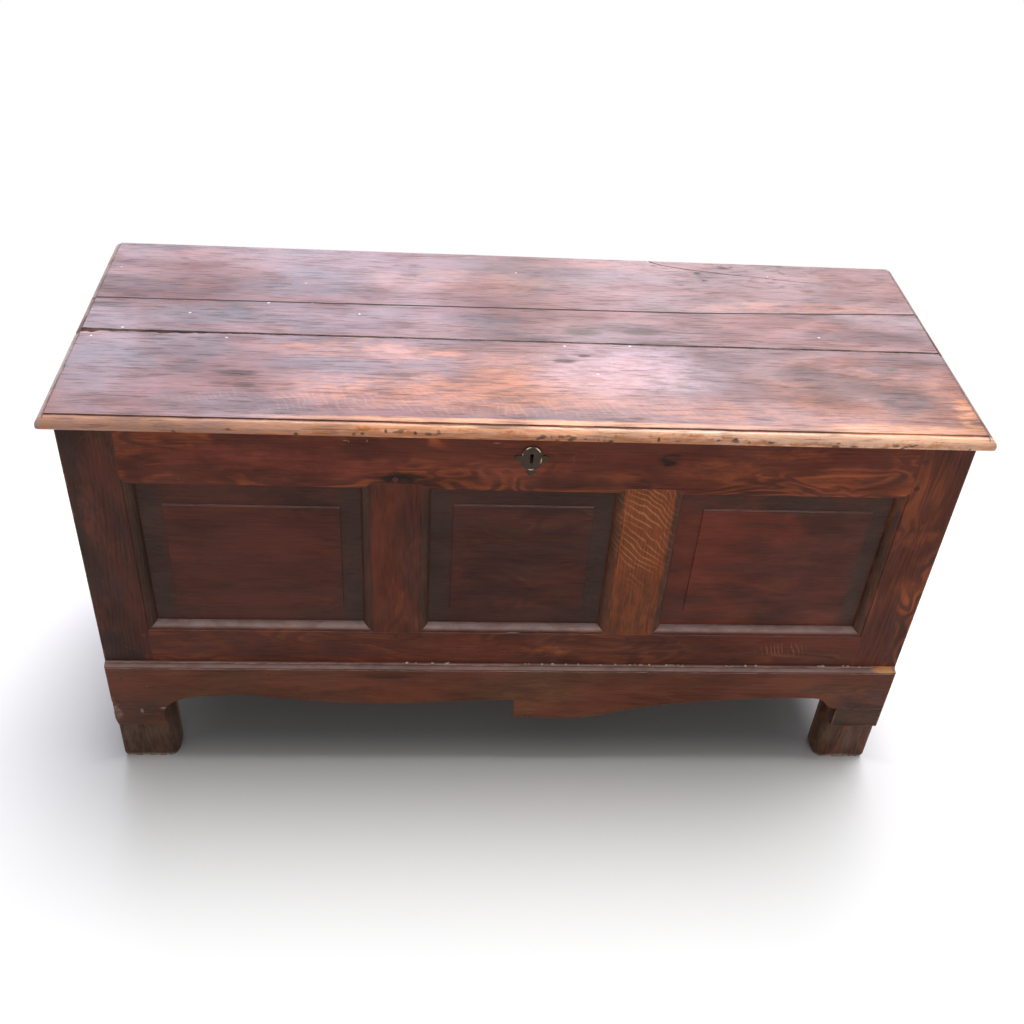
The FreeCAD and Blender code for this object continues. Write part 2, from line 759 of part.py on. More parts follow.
# ---------------------------------------------------------------- posts, then walls
for is_front, place_name in ((True, "front"), (False, "back")):
    left_post = post(is_front)
    right_post = mirrored(f"{place_name}_post_mirror", left_post)
    for side, blank in (("left", left_post), ("right", right_post)):
        made = cut(f"{place_name}_post_{side}_bored", blank, apron_bores) if is_front else blank
        node(made, f"{place_name}_post_{side}")


def strap_notch(sign):
    """The notch that lets a hinge strap through the top of the back rail."""
    middle, half = f"({sign}) * ({FRONT_HALF} - hinge_inset)", "(hinge_width / 2 + hinge_clear)"
    across = (f"{middle} - {half}", f"{middle} + {half}")
    deep = ("0 - over", "rail_thick + over")
    return block("strap_notch", across, deep, ("case_top - iron_thick - hinge_clear", "case_top + over"))


extra_cuts = {
    "front_top_rail": [
        keyhole("rail_keyhole", ("0 - over", "rail_thick + over")),
        on_wall(FRONT, lock_bores, "rail_lock_bores"),
        on_wall(FRONT, plate_pin_bores, "rail_pin_bores"),
    ],
    "front_bottom_rail": [
        floor_groove("front_floor_groove"),
        on_wall(FRONT, apron_bores, "rail_apron_bores"),
    ],
    "back_bottom_rail": [floor_groove("back_floor_groove")],
    "back_top_rail": [
        strap_notch(-1),
        strap_notch(1),
        on_wall(BACK, hinge_plate_bores, "rail_hinge_bores"),
    ],
}

PEG_LONG = "peg_proud + rail_thick - peg_stop"
peg_groups = []
PANEL_NAMES = {
    "front": ("front_panel_left", "front_panel_centre", "front_panel_right"),
    "back": ("back_panel_right", "back_panel_centre", "back_panel_left"),
    "left": ("left_panel_back", "left_panel_front"),
    "right": ("right_panel_front", "right_panel_back"),
}
MUNTIN_NAMES = {
    "front": ("front_muntin_left", "front_muntin_right"),
    "back": ("back_muntin_right", "back_muntin_left"),
    "left": ("left_muntin",),
    "right": ("right_muntin",),
}

for wall in (FRONT, LEFT, RIGHT, BACK):
    members = [rail(wall, "top"), rail(wall, "bottom")]
    members += [muntin(wall, i, name) for i, name in enumerate(MUNTIN_NAMES[wall.name])]
    for name, solid, tools in members:
        made = cut(name, solid, *tools, *extra_cuts.get(name, []))
        node(wall.set_up(made), name)
    for i, name in enumerate(PANEL_NAMES[wall.name]):
        margins = [f"{name}_{side}" if name in FIELD_MARGINS else "end_margin" for side in SIDES]
        node(wall.set_up(panel(wall, i, name, margins)), name)
    peg_places = [
        (f"({sign}) * ({wall.half} + peg_inset)", up) for sign in (-1, 1) for up in TOP_PEGS + BOTTOM_PEGS
    ]
    for i in range(len(wall.openings) - 1):
        middle = f"(({wall.openings[i][1]}) + ({wall.openings[i + 1][0]})) / 2"
        peg_places += [(middle, f"{SIGHT_TOP} + peg_inset"), (middle, "sight_bottom - peg_inset")]
    pegs = [
        rod(f"{wall.name}_peg", "y", (across, "0 - peg_proud", up), PEG_LONG, "peg_radius")
        for across, up in peg_places
    ]
    peg_groups.append(wall.set_up(compound(f"{wall.name}_pegs", pegs)))
node(compound("pegs", peg_groups), "joint_pegs")

# ---------------------------------------------------------------- floor of the chest
FLOOR_BOARDS = 5
INNER_HALF = f"({HALF_CASE} - rail_thick)"
FLOOR_WIDE = f"((2 * {INNER_HALF} - {FLOOR_BOARDS + 1} * floor_gap) / {FLOOR_BOARDS})"
floor_y = (
    f"{FRONT_Y} + rail_thick - groove_depth + panel_slip",
    f"{BACK_Y} - rail_thick + groove_depth - panel_slip",
)
floor_z = (f"{FLOOR_BOTTOM} + tongue_slip", f"{FLOOR_BOTTOM} + tongue_slip + floor_thick")
for i in range(FLOOR_BOARDS):
    low = f"0 - {INNER_HALF} + floor_gap + {i} * ({FLOOR_WIDE} + floor_gap)"
    board = block(f"floor_board_{i + 1}_wood", (low, f"{low} + {FLOOR_WIDE}"), floor_y, floor_z)
    if i in (0, FLOOR_BOARDS - 1):
        sign = -1 if i == 0 else 1
        across = span(sign, f"{FRONT_HALF} - floor_gap", HALF_CASE)
        high = (f"{FLOOR_BOTTOM} - over", f"{FLOOR_BOTTOM} + floor_thick + over")
        corners = [
            block("front_corner", across, (FRONT_Y, f"{FRONT_Y} + post_depth + floor_gap"), high),
            block("back_corner", across, (f"{BACK_Y} - post_depth - floor_gap", BACK_Y), high),
        ]
        board = cut(f"floor_board_{i + 1}_notched", board, *corners)
    node(board, f"floor_board_{i + 1}")

# ---------------------------------------------------------------- apron
# Its lower edge is sawn by eye: an arch and a reverse curve each side of a middle drop. The left half of the
# drop has split away along the grain. Points are (share of the run, height).
facing_edge = value(f"{HALF_CASE} - facing_width")
half_case = value(HALF_CASE)
apron_top = value(APRON_TOP)
arch = value(f"{APRON_TOP} - arch_drop")
arch_middle = value(f"{APRON_TOP} - arch_middle_drop")
split = value(f"{APRON_TOP} - split_drop")
pendant = value(f"{APRON_TOP} - pendant_drop")
joint = value(f"{APRON_TOP} - facing_joint_drop")
knee = value(f"{APRON_TOP} - facing_joint_drop - knee_drop")
left_bottom = value(f"{APRON_TOP} - left_facing_drop")
pendant_left, pendant_right = value("pendant_left"), value("pendant_right")
LEFT_RUN = [
    (0, knee),
    (0.018, joint + 2),
    (0.05, arch - 10),
    (0.13, arch - 2.4),
    (0.25, arch),
    (0.34, arch - 6.5),
    (0.47, arch_middle + 3),
    (0.58, arch_middle),
    (0.8, arch_middle + 5),
    (1, split),
]
RIGHT_RUN = [
    (0, pendant),
    (0.085, pendant + 3.4),
    (0.21, arch - 30),
    (0.3, arch - 20),
    (0.43, arch - 10.5),
    (0.6, arch - 3),
    (0.88, arch + 1.6),
    (0.936, arch - 4),
    (0.974, joint + 2),
    (1, joint),
]


def run_curve(start, end, run):
    curve = Part.BSplineCurve()
    curve.interpolate([Vector(start + share * (end - start), 0, up) for share, up in run])
    return curve.toShape()


def straight_edges(points):
    corners = [Vector(across, 0, up) for across, up in points]
    return [Part.LineSegment(*ends).toShape() for ends in zip(corners, corners[1:])]


outside = [
    (-facing_edge, knee),
    (-facing_edge, left_bottom),
    (-half_case, left_bottom),
    (-half_case, apron_top),
    (half_case, apron_top),
    (half_case, joint),
    (facing_edge, joint),
]
broken_end = [
    (pendant_right, pendant),
    (pendant_left + value("split_slant"), pendant),
    (pendant_left, split),
]
edges = straight_edges(outside) + straight_edges(broken_end)
edges.append(run_curve(pendant_right, facing_edge, RIGHT_RUN))
edges.append(run_curve(-facing_edge, pendant_left, LEFT_RUN))
apron_wood = DOC.addObject("Part::Feature", "apron_wood")
apron_wire = Part.Wire(Part.__sortEdges__(edges))
apron_wood.Shape = Part.Face(apron_wire).extrude(Vector(0, -value("apron_thick"), 0))
place(apron_wood, "0", FRONT_Y)

whole = (f"0 - {HALF_CASE} - over", f"{HALF_CASE} + over")
before_face = f"{APRON_FACE} - over"
step_z = f"{APRON_TOP} - apron_step"
bead_top = f"{step_z} - apron_ovolo - bead_width"
ledge_y, ledge_z = (before_face, f"{FRONT_Y} - apron_ledge"), (step_z, f"{APRON_TOP} + over")
bead_y, bead_z = (before_face, f"{APRON_FACE} + bead_depth"), (f"{bead_top} - bead_width", bead_top)
round_start, round_long = (whole[0], APRON_FACE, step_z), "case_width + 2 * over"
apron_tools = [
    block("apron_ledge_cut", whole, ledge_y, ledge_z),
    block("apron_bead", whole, bead_y, bead_z),
    rounding("apron_round", "x", round_start, round_long, "apron_ovolo", (1, -1)),
]
# The left facing is bevelled off behind its toe.
LEFT_BOTTOM = f"{APRON_TOP} - left_facing_drop"
toe_outline = [
    ("0 - apron_thick - over", f"{LEFT_BOTTOM} + facing_bevel"),
    ("0 - apron_thick", f"{LEFT_BOTTOM} + facing_bevel"),
    ("0 - facing_toe", LEFT_BOTTOM),
    ("0 - facing_toe", f"{LEFT_BOTTOM} - over"),
    ("0 - apron_thick - over", f"{LEFT_BOTTOM} - over"),
]
toe = prism("facing_toe_cut", "XZ", toe_outline, "facing_width + 2 * over")
toe.Placement = Placement(Vector(), Rotation(Vector(0, 0, 1), 90))
place(toe, f"0 - {HALF_CASE} + facing_width + over", FRONT_Y)
node(cut("apron_cut", apron_wood, *apron_tools, toe, apron_bores), "front_apron")

lower_facing = block(
    "lower_facing_wood",
    (f"{HALF_CASE} - facing_width", HALF_CASE),
    (APRON_FACE, FRONT_Y),
    (f"{APRON_TOP} - right_facing_drop", f"{APRON_TOP} - facing_joint_drop - facing_joint"),
)
node(cut("lower_facing_cut", lower_facing, apron_bores), "apron_lower_facing")

# ---------------------------------------------------------------- lid
LID_X = f"({HALF_CASE} + lid_side_overhang)"
LID_LEFT = f"(0 - {LID_X})"
# The middle board widens to the right, and more so past a bend.
SEAM = [
    (LID_LEFT, f"{MIDDLE_START} + middle_board_left"),
    ("middle_board_bend_at", f"{MIDDLE_START} + middle_board_bend"),
    (LID_X, f"{MIDDLE_START} + middle_board_right"),
]
lid_outlines = {
    "lid_board_front": [(LID_LEFT, LID_FRONT), (LID_X, LID_FRONT), (LID_X, FRONT_END), (LID_LEFT, FRONT_END)],
    "lid_board_middle": [(LID_LEFT, MIDDLE_START), (LID_X, MIDDLE_START)] + SEAM[::-1],
    "lid_board_back": [(x, f"{y} + back_joint") for x, y in SEAM] + [(LID_X, LID_BACK), (LID_LEFT, LID_BACK)],
}


def nose(name, axis, start, length, way):
    """The rounded nose worked on one edge of the lid: a step, a quarter round, and a smaller round under."""
    at = start["xyz".index("x" if axis == "y" else "y")]
    inner, outer = f"({at}) + ({way}) * nose_width", f"({at}) - ({way}) * over"
    across = (outer, inner) if way > 0 else (inner, outer)
    run = (f"({start['xyz'.index(axis)]})", f"({start['xyz'.index(axis)]}) + ({length})")
    x, y = (across, run) if axis == "y" else (run, across)
    step = block(f"{name}_step", x, y, (f"{LID_TOP} - nose_step", f"{LID_TOP} + over"))
    top_start = (start[0], start[1], f"{LID_TOP} - nose_step")
    top = rounding(f"{name}_top", axis, top_start, length, "nose_width", (way, -1))
    under = rounding(f"{name}_under", axis, (start[0], start[1], "case_top"), length, "nose_under", (way, 1))
    return [step, top, under]


lid_length, lid_deep = f"2 * {LID_X} + 2 * over", f"{LID_DEPTH} + 2 * over"
noses = nose("nose_front", "x", (f"{LID_LEFT} - over", LID_FRONT, "0"), lid_length, 1)
noses += nose("nose_left", "y", (LID_LEFT, f"{LID_FRONT} - over", "0"), lid_deep, 1)
noses += nose("nose_right", "y", (LID_X, f"{LID_FRONT} - over", "0"), lid_deep, -1)
lid_bores = [strap_bores, batten_bores, staple_bores]
for label, outline in lid_outlines.items():
    wood = place(prism(f"{label}_wood", "XY", outline, "lid_thick"), "0", "0", "case_top")
    node(cut(f"{label}_cut", wood, *noses, *lid_bores), label)

BATTEN_FRONT = f"({FRONT_Y} + rail_thick + batten_clear)"
batten_deep = f"{BACK_Y} - rail_thick - batten_clear - {BATTEN_FRONT}"
batten_outline = [
    ("0 - batten_width / 2", "0"),
    ("0 - batten_width / 2", "0 - batten_thick + batten_bevel"),
    ("0 - batten_width / 2 + batten_bevel", "0 - batten_thick"),
    ("batten_width / 2 - batten_bevel", "0 - batten_thick"),
    ("batten_width / 2", "0 - batten_thick + batten_bevel"),
    ("batten_width / 2", "0"),
]
for sign, label in ((-1, "lid_batten_left"), (1, "lid_batten_right")):
    wood = prism(f"{label}_wood", "XZ", batten_outline, batten_deep)
    place(wood, f"({sign}) * ({FRONT_HALF} - batten_inset)", BATTEN_FRONT, "case_top")
    node(cut(f"{label}_cut", wood, batten_bores), label)


# ---------------------------------------------------------------- hinges
def hinge_bore(name, across):
    start = (f"{across} - hinge_width", PIVOT_Y, PIVOT_Z)
    return rod(name, "x", start, "2 * hinge_width", "hinge_pin_radius + fit")


hinge_pins = []
for sign, side in ((-1, "left"), (1, "right")):
    across = f"({sign}) * ({FRONT_HALF} - hinge_inset)"
    middle_low = f"{across} - knuckle_width / 2 + knuckle_gap"
    middle_wide = "knuckle_width - 2 * knuckle_gap"
    iron_z = ("case_top - iron_thick", "case_top")
    # strap: a tapered bar under the lid, a neck through the back rail, and the middle knuckle
    bar_outline = [
        ("0 - hinge_width / 2", "0"),
        ("0 - strap_tip / 2", "0 - strap_length + strap_tip"),
        ("0", "0 - strap_length"),
        ("strap_tip / 2", "0 - strap_length + strap_tip"),
        ("hinge_width / 2", "0"),
    ]
    bar = prism(f"strap_{side}_bar", "XY", bar_outline, "iron_thick")
    place(bar, across, BACK_Y, "case_top - iron_thick")
    neck_x = (middle_low, f"{middle_low} + {middle_wide}")
    neck = block(f"strap_{side}_neck", neck_x, (BACK_Y, PIVOT_Y), iron_z)
    eye = rod(f"strap_{side}_eye", "x", (middle_low, PIVOT_Y, PIVOT_Z), middle_wide, "knuckle_radius")
    strap = joined(f"strap_{side}_iron", bar, neck, eye)
    tools = [hinge_bore("strap_bore", across), strap_bores]
    node(cut(f"strap_{side}_cut", strap, *tools), f"hinge_strap_{side}")
    # plate: nailed to the back, with a knuckle each side of the strap's
    plate_outline = [
        ("0 - hinge_width / 2", PIVOT_Z),
        ("0 - hinge_width / 2", f"{PIVOT_Z} - plate_height + hinge_width / 2"),
        ("0", f"{PIVOT_Z} - plate_height"),
        ("hinge_width / 2", f"{PIVOT_Z} - plate_height + hinge_width / 2"),
        ("hinge_width / 2", PIVOT_Z),
    ]
    plate = prism(f"hinge_{side}_plate", "XZ", plate_outline, "iron_thick")
    place(plate, across, BACK_Y)
    outer_low = f"{across} - hinge_width / 2"
    eye_start = (outer_low, PIVOT_Y, PIVOT_Z)
    knuckles = rod(f"hinge_{side}_knuckles", "x", eye_start, "hinge_width", "knuckle_radius")
    slot = block(
        f"hinge_{side}_slot",
        (f"{across} - knuckle_width / 2", f"{across} + knuckle_width / 2"),
        (f"{BACK_Y} - over", f"{PIVOT_Y} + knuckle_radius + over"),
        (f"{PIVOT_Z} - knuckle_radius - knuckle_gap", f"{PIVOT_Z} + knuckle_radius + over"),
    )
    iron = joined(f"hinge_{side}_iron", plate, knuckles)
    tools = [slot, hinge_bore("plate_bore", across), hinge_plate_bores]
    node(cut(f"hinge_{side}_cut", iron, *tools), f"hinge_plate_{side}")
    hinge_pins.append(rod(f"pin_{side}", "x", eye_start, "hinge_width", "hinge_pin_radius"))
node(compound("pins", hinge_pins), "hinge_pins")

# ---------------------------------------------------------------- lock
PLATE_TOP = "case_top - lock_plate_drop"
CAP_TOP = "(case_top - cap_drop)"
lock_x = ("lock_across - lock_plate_width / 2", "lock_across + lock_plate_width / 2")
lock_z = (f"{PLATE_TOP} - lock_plate_tall", PLATE_TOP)
lock_plate = block("plate_iron", lock_x, (LOCK_BACK, LOCK_FACE), lock_z)
through_plate = keyhole("plate_keyhole", (f"{LOCK_BACK} - over", f"{LOCK_FACE} + over"))
node(cut("lock_plate_cut", lock_plate, through_plate, lock_bores), "lock_plate")

cap_x = ("lock_across - cap_width / 2", "lock_across + cap_width / 2")
cap = block("cap_iron", cap_x, (LOCK_FACE, CAP_BACK), (f"{CAP_TOP} - cap_tall", CAP_TOP))
hollow = block(
    "cap_hollow",
    (f"{cap_x[0]} + cap_wall", f"{cap_x[1]} - cap_wall"),
    (f"{LOCK_FACE} - over", f"{CAP_BACK} - cap_wall"),
    (f"{CAP_TOP} - cap_tall + cap_wall", f"{CAP_TOP} - cap_wall"),
)
slot_x, slot_y = "(staple_thick / 2 + staple_slot)", "(staple_wide / 2 + staple_slot)"
staple_hole = block(
    "cap_staple_hole",
    (f"lock_across - {slot_x}", f"lock_across + {slot_x}"),
    (f"{STAPLE_Y} - {slot_y}", f"{STAPLE_Y} + {slot_y}"),
    (f"{CAP_TOP} - cap_wall - over", f"{CAP_TOP} + over"),
)
node(cut("cap_cut", cap, hollow, staple_hole), "lock_cap")

# The bolt slides across, through two guides and then the staple's window. It is drawn back at rest.
BOLT_BOTTOM = "(case_top - staple_drop + staple_foot + bolt_slip)"
BOLT_TOP = f"({BOLT_BOTTOM} + bolt_tall)"
BOLT_END = "(lock_across - staple_thick / 2 - bolt_back)"
BOLT_START = f"({BOLT_END} - bolt_long)"
bolt_y = (f"{STAPLE_Y} - bolt_thick / 2", f"{STAPLE_Y} + bolt_thick / 2")
shot = block("bolt_shot", (BOLT_START, BOLT_END), bolt_y, (BOLT_BOTTOM, BOLT_TOP))
tail_x = (BOLT_START, f"{BOLT_START} + bolt_tail_width")
tail = block("bolt_tail", tail_x, bolt_y, (f"{BOLT_BOTTOM} - bolt_tail_tall", BOLT_BOTTOM))
node(joined("bolt", shot, tail), "lock_bolt")

guides = []
past_tail = f"{BOLT_START} + bolt_tail_width + bolt_travel + guide_gap"
for low in (past_tail, f"{BOLT_END} - guide_width - bolt_back"):
    guide_z = (f"{BOLT_BOTTOM} - guide_foot", f"{CAP_TOP} - cap_wall")
    guide = block("guide_iron", (low, f"{low} + guide_width"), (LOCK_FACE, f"{CAP_BACK} - cap_wall"), guide_z)
    channel = block(
        "guide_channel",
        (f"{low} - over", f"{low} + guide_width + over"),
        (f"{bolt_y[0]} - fit", f"{bolt_y[1]} + fit"),
        (f"{BOLT_BOTTOM} - fit", f"{BOLT_TOP} + fit"),
    )
    guides.append(cut("guide", guide, channel))
node(compound("guides", guides), "bolt_guides")

# The staple hangs from the lid into the cap.
staple_x = ("lock_across - staple_thick / 2", "lock_across + staple_thick / 2")
staple_y = (f"{STAPLE_Y} - staple_wide / 2", f"{STAPLE_Y} + staple_wide / 2")
staple_plate = block(
    "staple_plate",
    ("lock_across - staple_plate_width / 2", "lock_across + staple_plate_width / 2"),
    (f"{LOCK_BACK} + hinge_clear", CAP_BACK),
    ("case_top - staple_plate_thick", "case_top"),
)
loop = block("staple_loop", staple_x, staple_y, ("case_top - staple_drop", "case_top"))
window = block(
    "staple_window_cut",
    (f"{staple_x[0]} - over", f"{staple_x[1]} + over"),
    (f"{STAPLE_Y} - staple_window / 2", f"{STAPLE_Y} + staple_window / 2"),
    (f"{BOLT_BOTTOM} - bolt_slip", f"{BOLT_TOP} + bolt_slip"),
)
staple = joined("staple_iron", staple_plate, loop)
node(cut("staple_cut", staple, window, staple_bores), "lock_staple")

# keyhole plate: a long oval about the keyhole, with a pinned ear at each side and one below
lobes = [
    ("0", "plate_stretch / 2", "plate_radius"),
    ("0", "0 - plate_stretch / 2", "plate_radius"),
    ("0 - plate_ear", "0", "ear_radius"),
    ("plate_ear", "0", "ear_radius"),
    ("0", "0 - plate_drop", "ear_radius"),
]
brass_pieces = []
for across, up, radius in lobes:
    lobe_start = (f"lock_across + {across}", BRASS_FACE, f"{PLATE_Z} + {up}")
    brass_pieces.append(rod("plate_lobe", "y", lobe_start, "brass_thick", radius))
waist_x = ("lock_across - plate_radius", "lock_across + plate_radius")
waist_z = (f"{PLATE_Z} - plate_stretch / 2", f"{PLATE_Z} + plate_stretch / 2")
brass_pieces.append(block("plate_waist", waist_x, (BRASS_FACE, FRONT_Y), waist_z))
brass = joined("keyhole_plate_brass", *brass_pieces)
through_brass = keyhole("brass_keyhole", (f"{BRASS_FACE} - over", f"{FRONT_Y} + over"))
node(cut("keyhole_plate_cut", brass, through_brass, plate_pin_bores), "keyhole_plate")

# ---------------------------------------------------------------- check, then write
DOC.recompute()
faults = [thing.Name for thing in DOC.Objects if {"Invalid", "Error"} & set(thing.State)]
for thing in NODES:
    if thing.Shape.isNull() or not thing.Shape.isValid():
        faults.append(thing.Label)
if faults:
    raise SystemExit(f"not built: {faults}")
os.makedirs("parts", exist_ok=True)
for thing in NODES:
    thing.Shape.exportStep(f"parts/{thing.Label}.step")
print(len(NODES), "sub-parts written")
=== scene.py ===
# %% [markdown]
# # An old joined chest, finished in Blender
# The chest is a frame of posts, rails and muntins with raised panels in its grooves, a lid of three boards on
# iron hinges, and a shaped apron across the foot of the front. Its solids are already made, so this lesson
# gives them their wear and their finish. Everything is in metres: +X to the right of someone who faces the
# front, +Y towards the back, +Z up, with the origin on the floor under the middle of the lid.

import math
import random

import bmesh
import bpy
from mathutils import Euler, Matrix, Vector


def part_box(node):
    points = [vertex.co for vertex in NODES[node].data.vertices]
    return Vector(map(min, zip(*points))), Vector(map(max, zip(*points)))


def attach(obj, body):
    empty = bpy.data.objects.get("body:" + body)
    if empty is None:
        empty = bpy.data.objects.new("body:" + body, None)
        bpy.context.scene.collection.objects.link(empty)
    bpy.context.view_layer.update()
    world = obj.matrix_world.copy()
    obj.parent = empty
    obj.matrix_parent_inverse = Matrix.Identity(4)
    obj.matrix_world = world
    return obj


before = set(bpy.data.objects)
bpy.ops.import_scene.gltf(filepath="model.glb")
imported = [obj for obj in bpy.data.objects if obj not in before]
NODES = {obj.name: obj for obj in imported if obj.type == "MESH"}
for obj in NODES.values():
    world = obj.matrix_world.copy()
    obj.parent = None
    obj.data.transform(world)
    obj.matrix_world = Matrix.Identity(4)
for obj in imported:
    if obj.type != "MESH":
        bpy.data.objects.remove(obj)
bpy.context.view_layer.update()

# %% [markdown]
# ## Camera
# The chest is seen from eye height, a little to the left of its middle and looking well down, so that the lid
# fills the upper half. The lens is a normal one, and the two small shifts keep the chest where it belongs in
# the frame without turning the camera.

# %% Camera
scene = bpy.context.scene


def add_object(name, data):
    """Puts a new object into the scene."""
    made = bpy.data.objects.new(name, data)
    scene.collection.objects.link(made)
    return made


camera_data = bpy.data.cameras.new("camera")
camera_data.sensor_width = 36
camera_data.lens = 41.8386
camera_data.shift_x, camera_data.shift_y = -0.00708, 0.01492
camera = add_object("camera", camera_data)
camera.location = (-0.14065, -1.56368, 1.59696)
camera.rotation_euler = Euler([math.radians(turn) for turn in (50.71266, -3.64255, -2.90511)])
scene.camera = camera
print("camera", round((camera.location - Vector((0, 0, 0.4))).length, 2), "m from the chest")

# %% [markdown]
# ## Node helpers
# A wood finish takes dozens of nodes. One tree at a time lies on the bench. These few helpers lay a node into
# it, join it to what feeds it, and hand back its output, so that each recipe below reads as a list of steps.
# The effects that many boards share, such as rings, fibres and edge wear, are node groups with named sockets,
# each made once.

# %% Lay down nodes
SOCKET_KINDS = {"number": "NodeSocketFloat", "place": "NodeSocketVector", "colour": "NodeSocketColor"}


def work_on(tree):
    """Puts a node tree on the bench."""
    global bench
    bench = tree


def plug(node, sockets):
    """Gives a node's sockets a number, a place, a colour, or another node's output."""
    for label, value in sockets.items():
        socket = node.inputs[label]
        if isinstance(value, bpy.types.NodeSocket):
            bench.links.new(value, socket)
        else:
            socket.default_value = (*value, 1) if socket.type == "RGBA" else value


def put(kind, sockets, **options):
    """One node of this kind, with its choices made and its sockets filled."""
    made = bench.nodes.new("ShaderNode" + kind)
    for option, choice in options.items():
        setattr(made, option, choice)
    plug(made, sockets)
    return made


def calc(operation, *terms):
    """One sum on plain numbers."""
    return put("Math", dict(enumerate(terms)), operation=operation).outputs[0]


def times(first, second):
    """Two numbers multiplied."""
    return calc("MULTIPLY", first, second)


def shift(operation, *terms):
    """One sum on places, each axis on its own."""
    return put("VectorMath", dict(enumerate(terms)), operation=operation).outputs[0]


def axes(place):
    """The three numbers of a place."""
    return put("SeparateXYZ", {0: place}).outputs


def length(place):
    """How far a place is from the origin."""
    return put("VectorMath", {0: place}, operation="LENGTH").outputs["Value"]


def ease(value, start, end, low=0.0, high=1.0):
    """A number that goes softly from low to high while the value goes from start to end."""
    sockets = {"Value": value, "From Min": start, "From Max": end, "To Min": low, "To Max": high}
    return put("MapRange", sockets, interpolation_type="SMOOTHSTEP").outputs["Result"]


def lay(amount, under, over, how="MIX"):
    """Lays one colour over another by this amount."""
    sockets = {"Factor": amount, "A": under, "B": over}
    return put("Mix", sockets, data_type="RGBA", blend_type=how).outputs["Result"]


def lumps(place, per_metre, detail=2.0, roughness=0.5, distortion=0.0, gives=0):
    """Soft random lumps, as a number or as a Color. per_metre is how many fit in a metre along each axis."""
    sockets = {"Vector": shift("MULTIPLY", place, per_metre), "Scale": 1.0, "Detail": detail,
               "Roughness": roughness, "Distortion": distortion}
    return put("TexNoise", sockets).outputs[gives]


def astray(place, per_metre, amount, detail, roughness=0.5):
    """How far each place is pushed about by lumps."""
    push = shift("SUBTRACT", lumps(place, per_metre, detail, roughness, gives="Color"), (0.5, 0.5, 0.5))
    return put("VectorMath", {0: push, "Scale": amount}, operation="SCALE").outputs[0]


def effect(name, takes, gives):
    """Makes a node group out of a recipe. takes and gives name its sockets and their kinds, and the recipe is
    handed what the group takes, in that order."""
    def lay_out(recipe):
        tree = bpy.data.node_groups.new(name, "ShaderNodeTree")
        work_on(tree)
        for side, sockets in (("INPUT", takes), ("OUTPUT", gives)):
            for label, kind in sockets.items():
                tree.interface.new_socket(label, in_out=side, socket_type=SOCKET_KINDS[kind])
        given = tree.nodes.new("NodeGroupInput").outputs
        plug(tree.nodes.new("NodeGroupOutput"), recipe(*(given[label] for label in takes)))
        print(name, "has", len(tree.nodes), "nodes")
        return tree
    return lay_out


def use(group, *values):
    """Places a finished group, fills its sockets in their order, and gives its outputs."""
    return put("Group", dict(enumerate(values)), node_tree=group).outputs


print("node helpers ready")

# %% [markdown]
# ## Growth rings
# A board is cut from a trunk, and its figure is where the yearly rings meet its faces. A picture of grain could
# be laid on, but it would not turn the corners. Here the rings are solid: each point's distance from the heart
# of the trunk says which year it grew in. A slow bend of the trunk makes the tall flames of a board cut near
# the heart, and a fine waver keeps the lines alive.

# %% Rings
@effect("growth_rings", {"Place": "place", "Ring Width": "number", "Wander": "number"}, {"Rings": "number"})
def rings_group(place, ring_width, wander):
    bend = astray(place, (1.6, 4, 4), wander, 1)
    waver = shift("SUBTRACT", lumps(place, (11, 60, 60), 2, gives="Color"), (0.5, 0.5, 0.5))
    waver = shift("MULTIPLY", waver, (0.006, 0.006, 0.006))
    trunk = shift("ADD", place, shift("ADD", bend, waver))
    years = calc("DIVIDE", length(shift("MULTIPLY", trunk, (0, 1, 1))), ring_width)
    season = calc("FRACT", years)
    late_wood = ease(season, 0.2, 0.85)
    winter = ease(season, 0.9, 1.0, 1.0, 0.0)
    luck = {"W": times(years, 0.31), "Scale": 1.0, "Detail": 1.0}
    good_years = ease(put("TexNoise", luck, noise_dimensions="1D").outputs[0], 0.3, 0.7, 0.3, 1.0)
    return {"Rings": times(times(late_wood, winter), good_years)}


# %% [markdown]
# ## Fibres and pores
# Between the rings the wood is a bundle of long fibres, with open pores that old polish and dirt have filled.
# Both are lumps drawn out along the grain, one set soft and wide, one fine, and the pores short and sharp.

# %% Fibres
@effect("fibres", {"Place": "place"}, {"Streaks": "number", "Pores": "number"})
def fibre_group(place):
    wide = lumps(place, (16, 330, 330), 3, 0.7)
    fine = lumps(place, (50, 600, 600), 3, 0.6)
    pores = lumps(place, (20, 310, 310), 1, 0.6)
    return {"Streaks": ease(calc("ADD", wide, fine), 0.88, 1.26), "Pores": ease(pores, 0.57, 0.65)}


# %% [markdown]
# ## Stained wood
# Stain sinks unevenly. The soft early wood drinks it and goes dark, the hard wood between stays redder, and
# where the grain swirls, like the lines on a map of hills, it shines orange through the stain. The group keeps
# the broad tone and the fine grain apart, so that a stain or a worn place can go between them and the grain
# still shows through it.

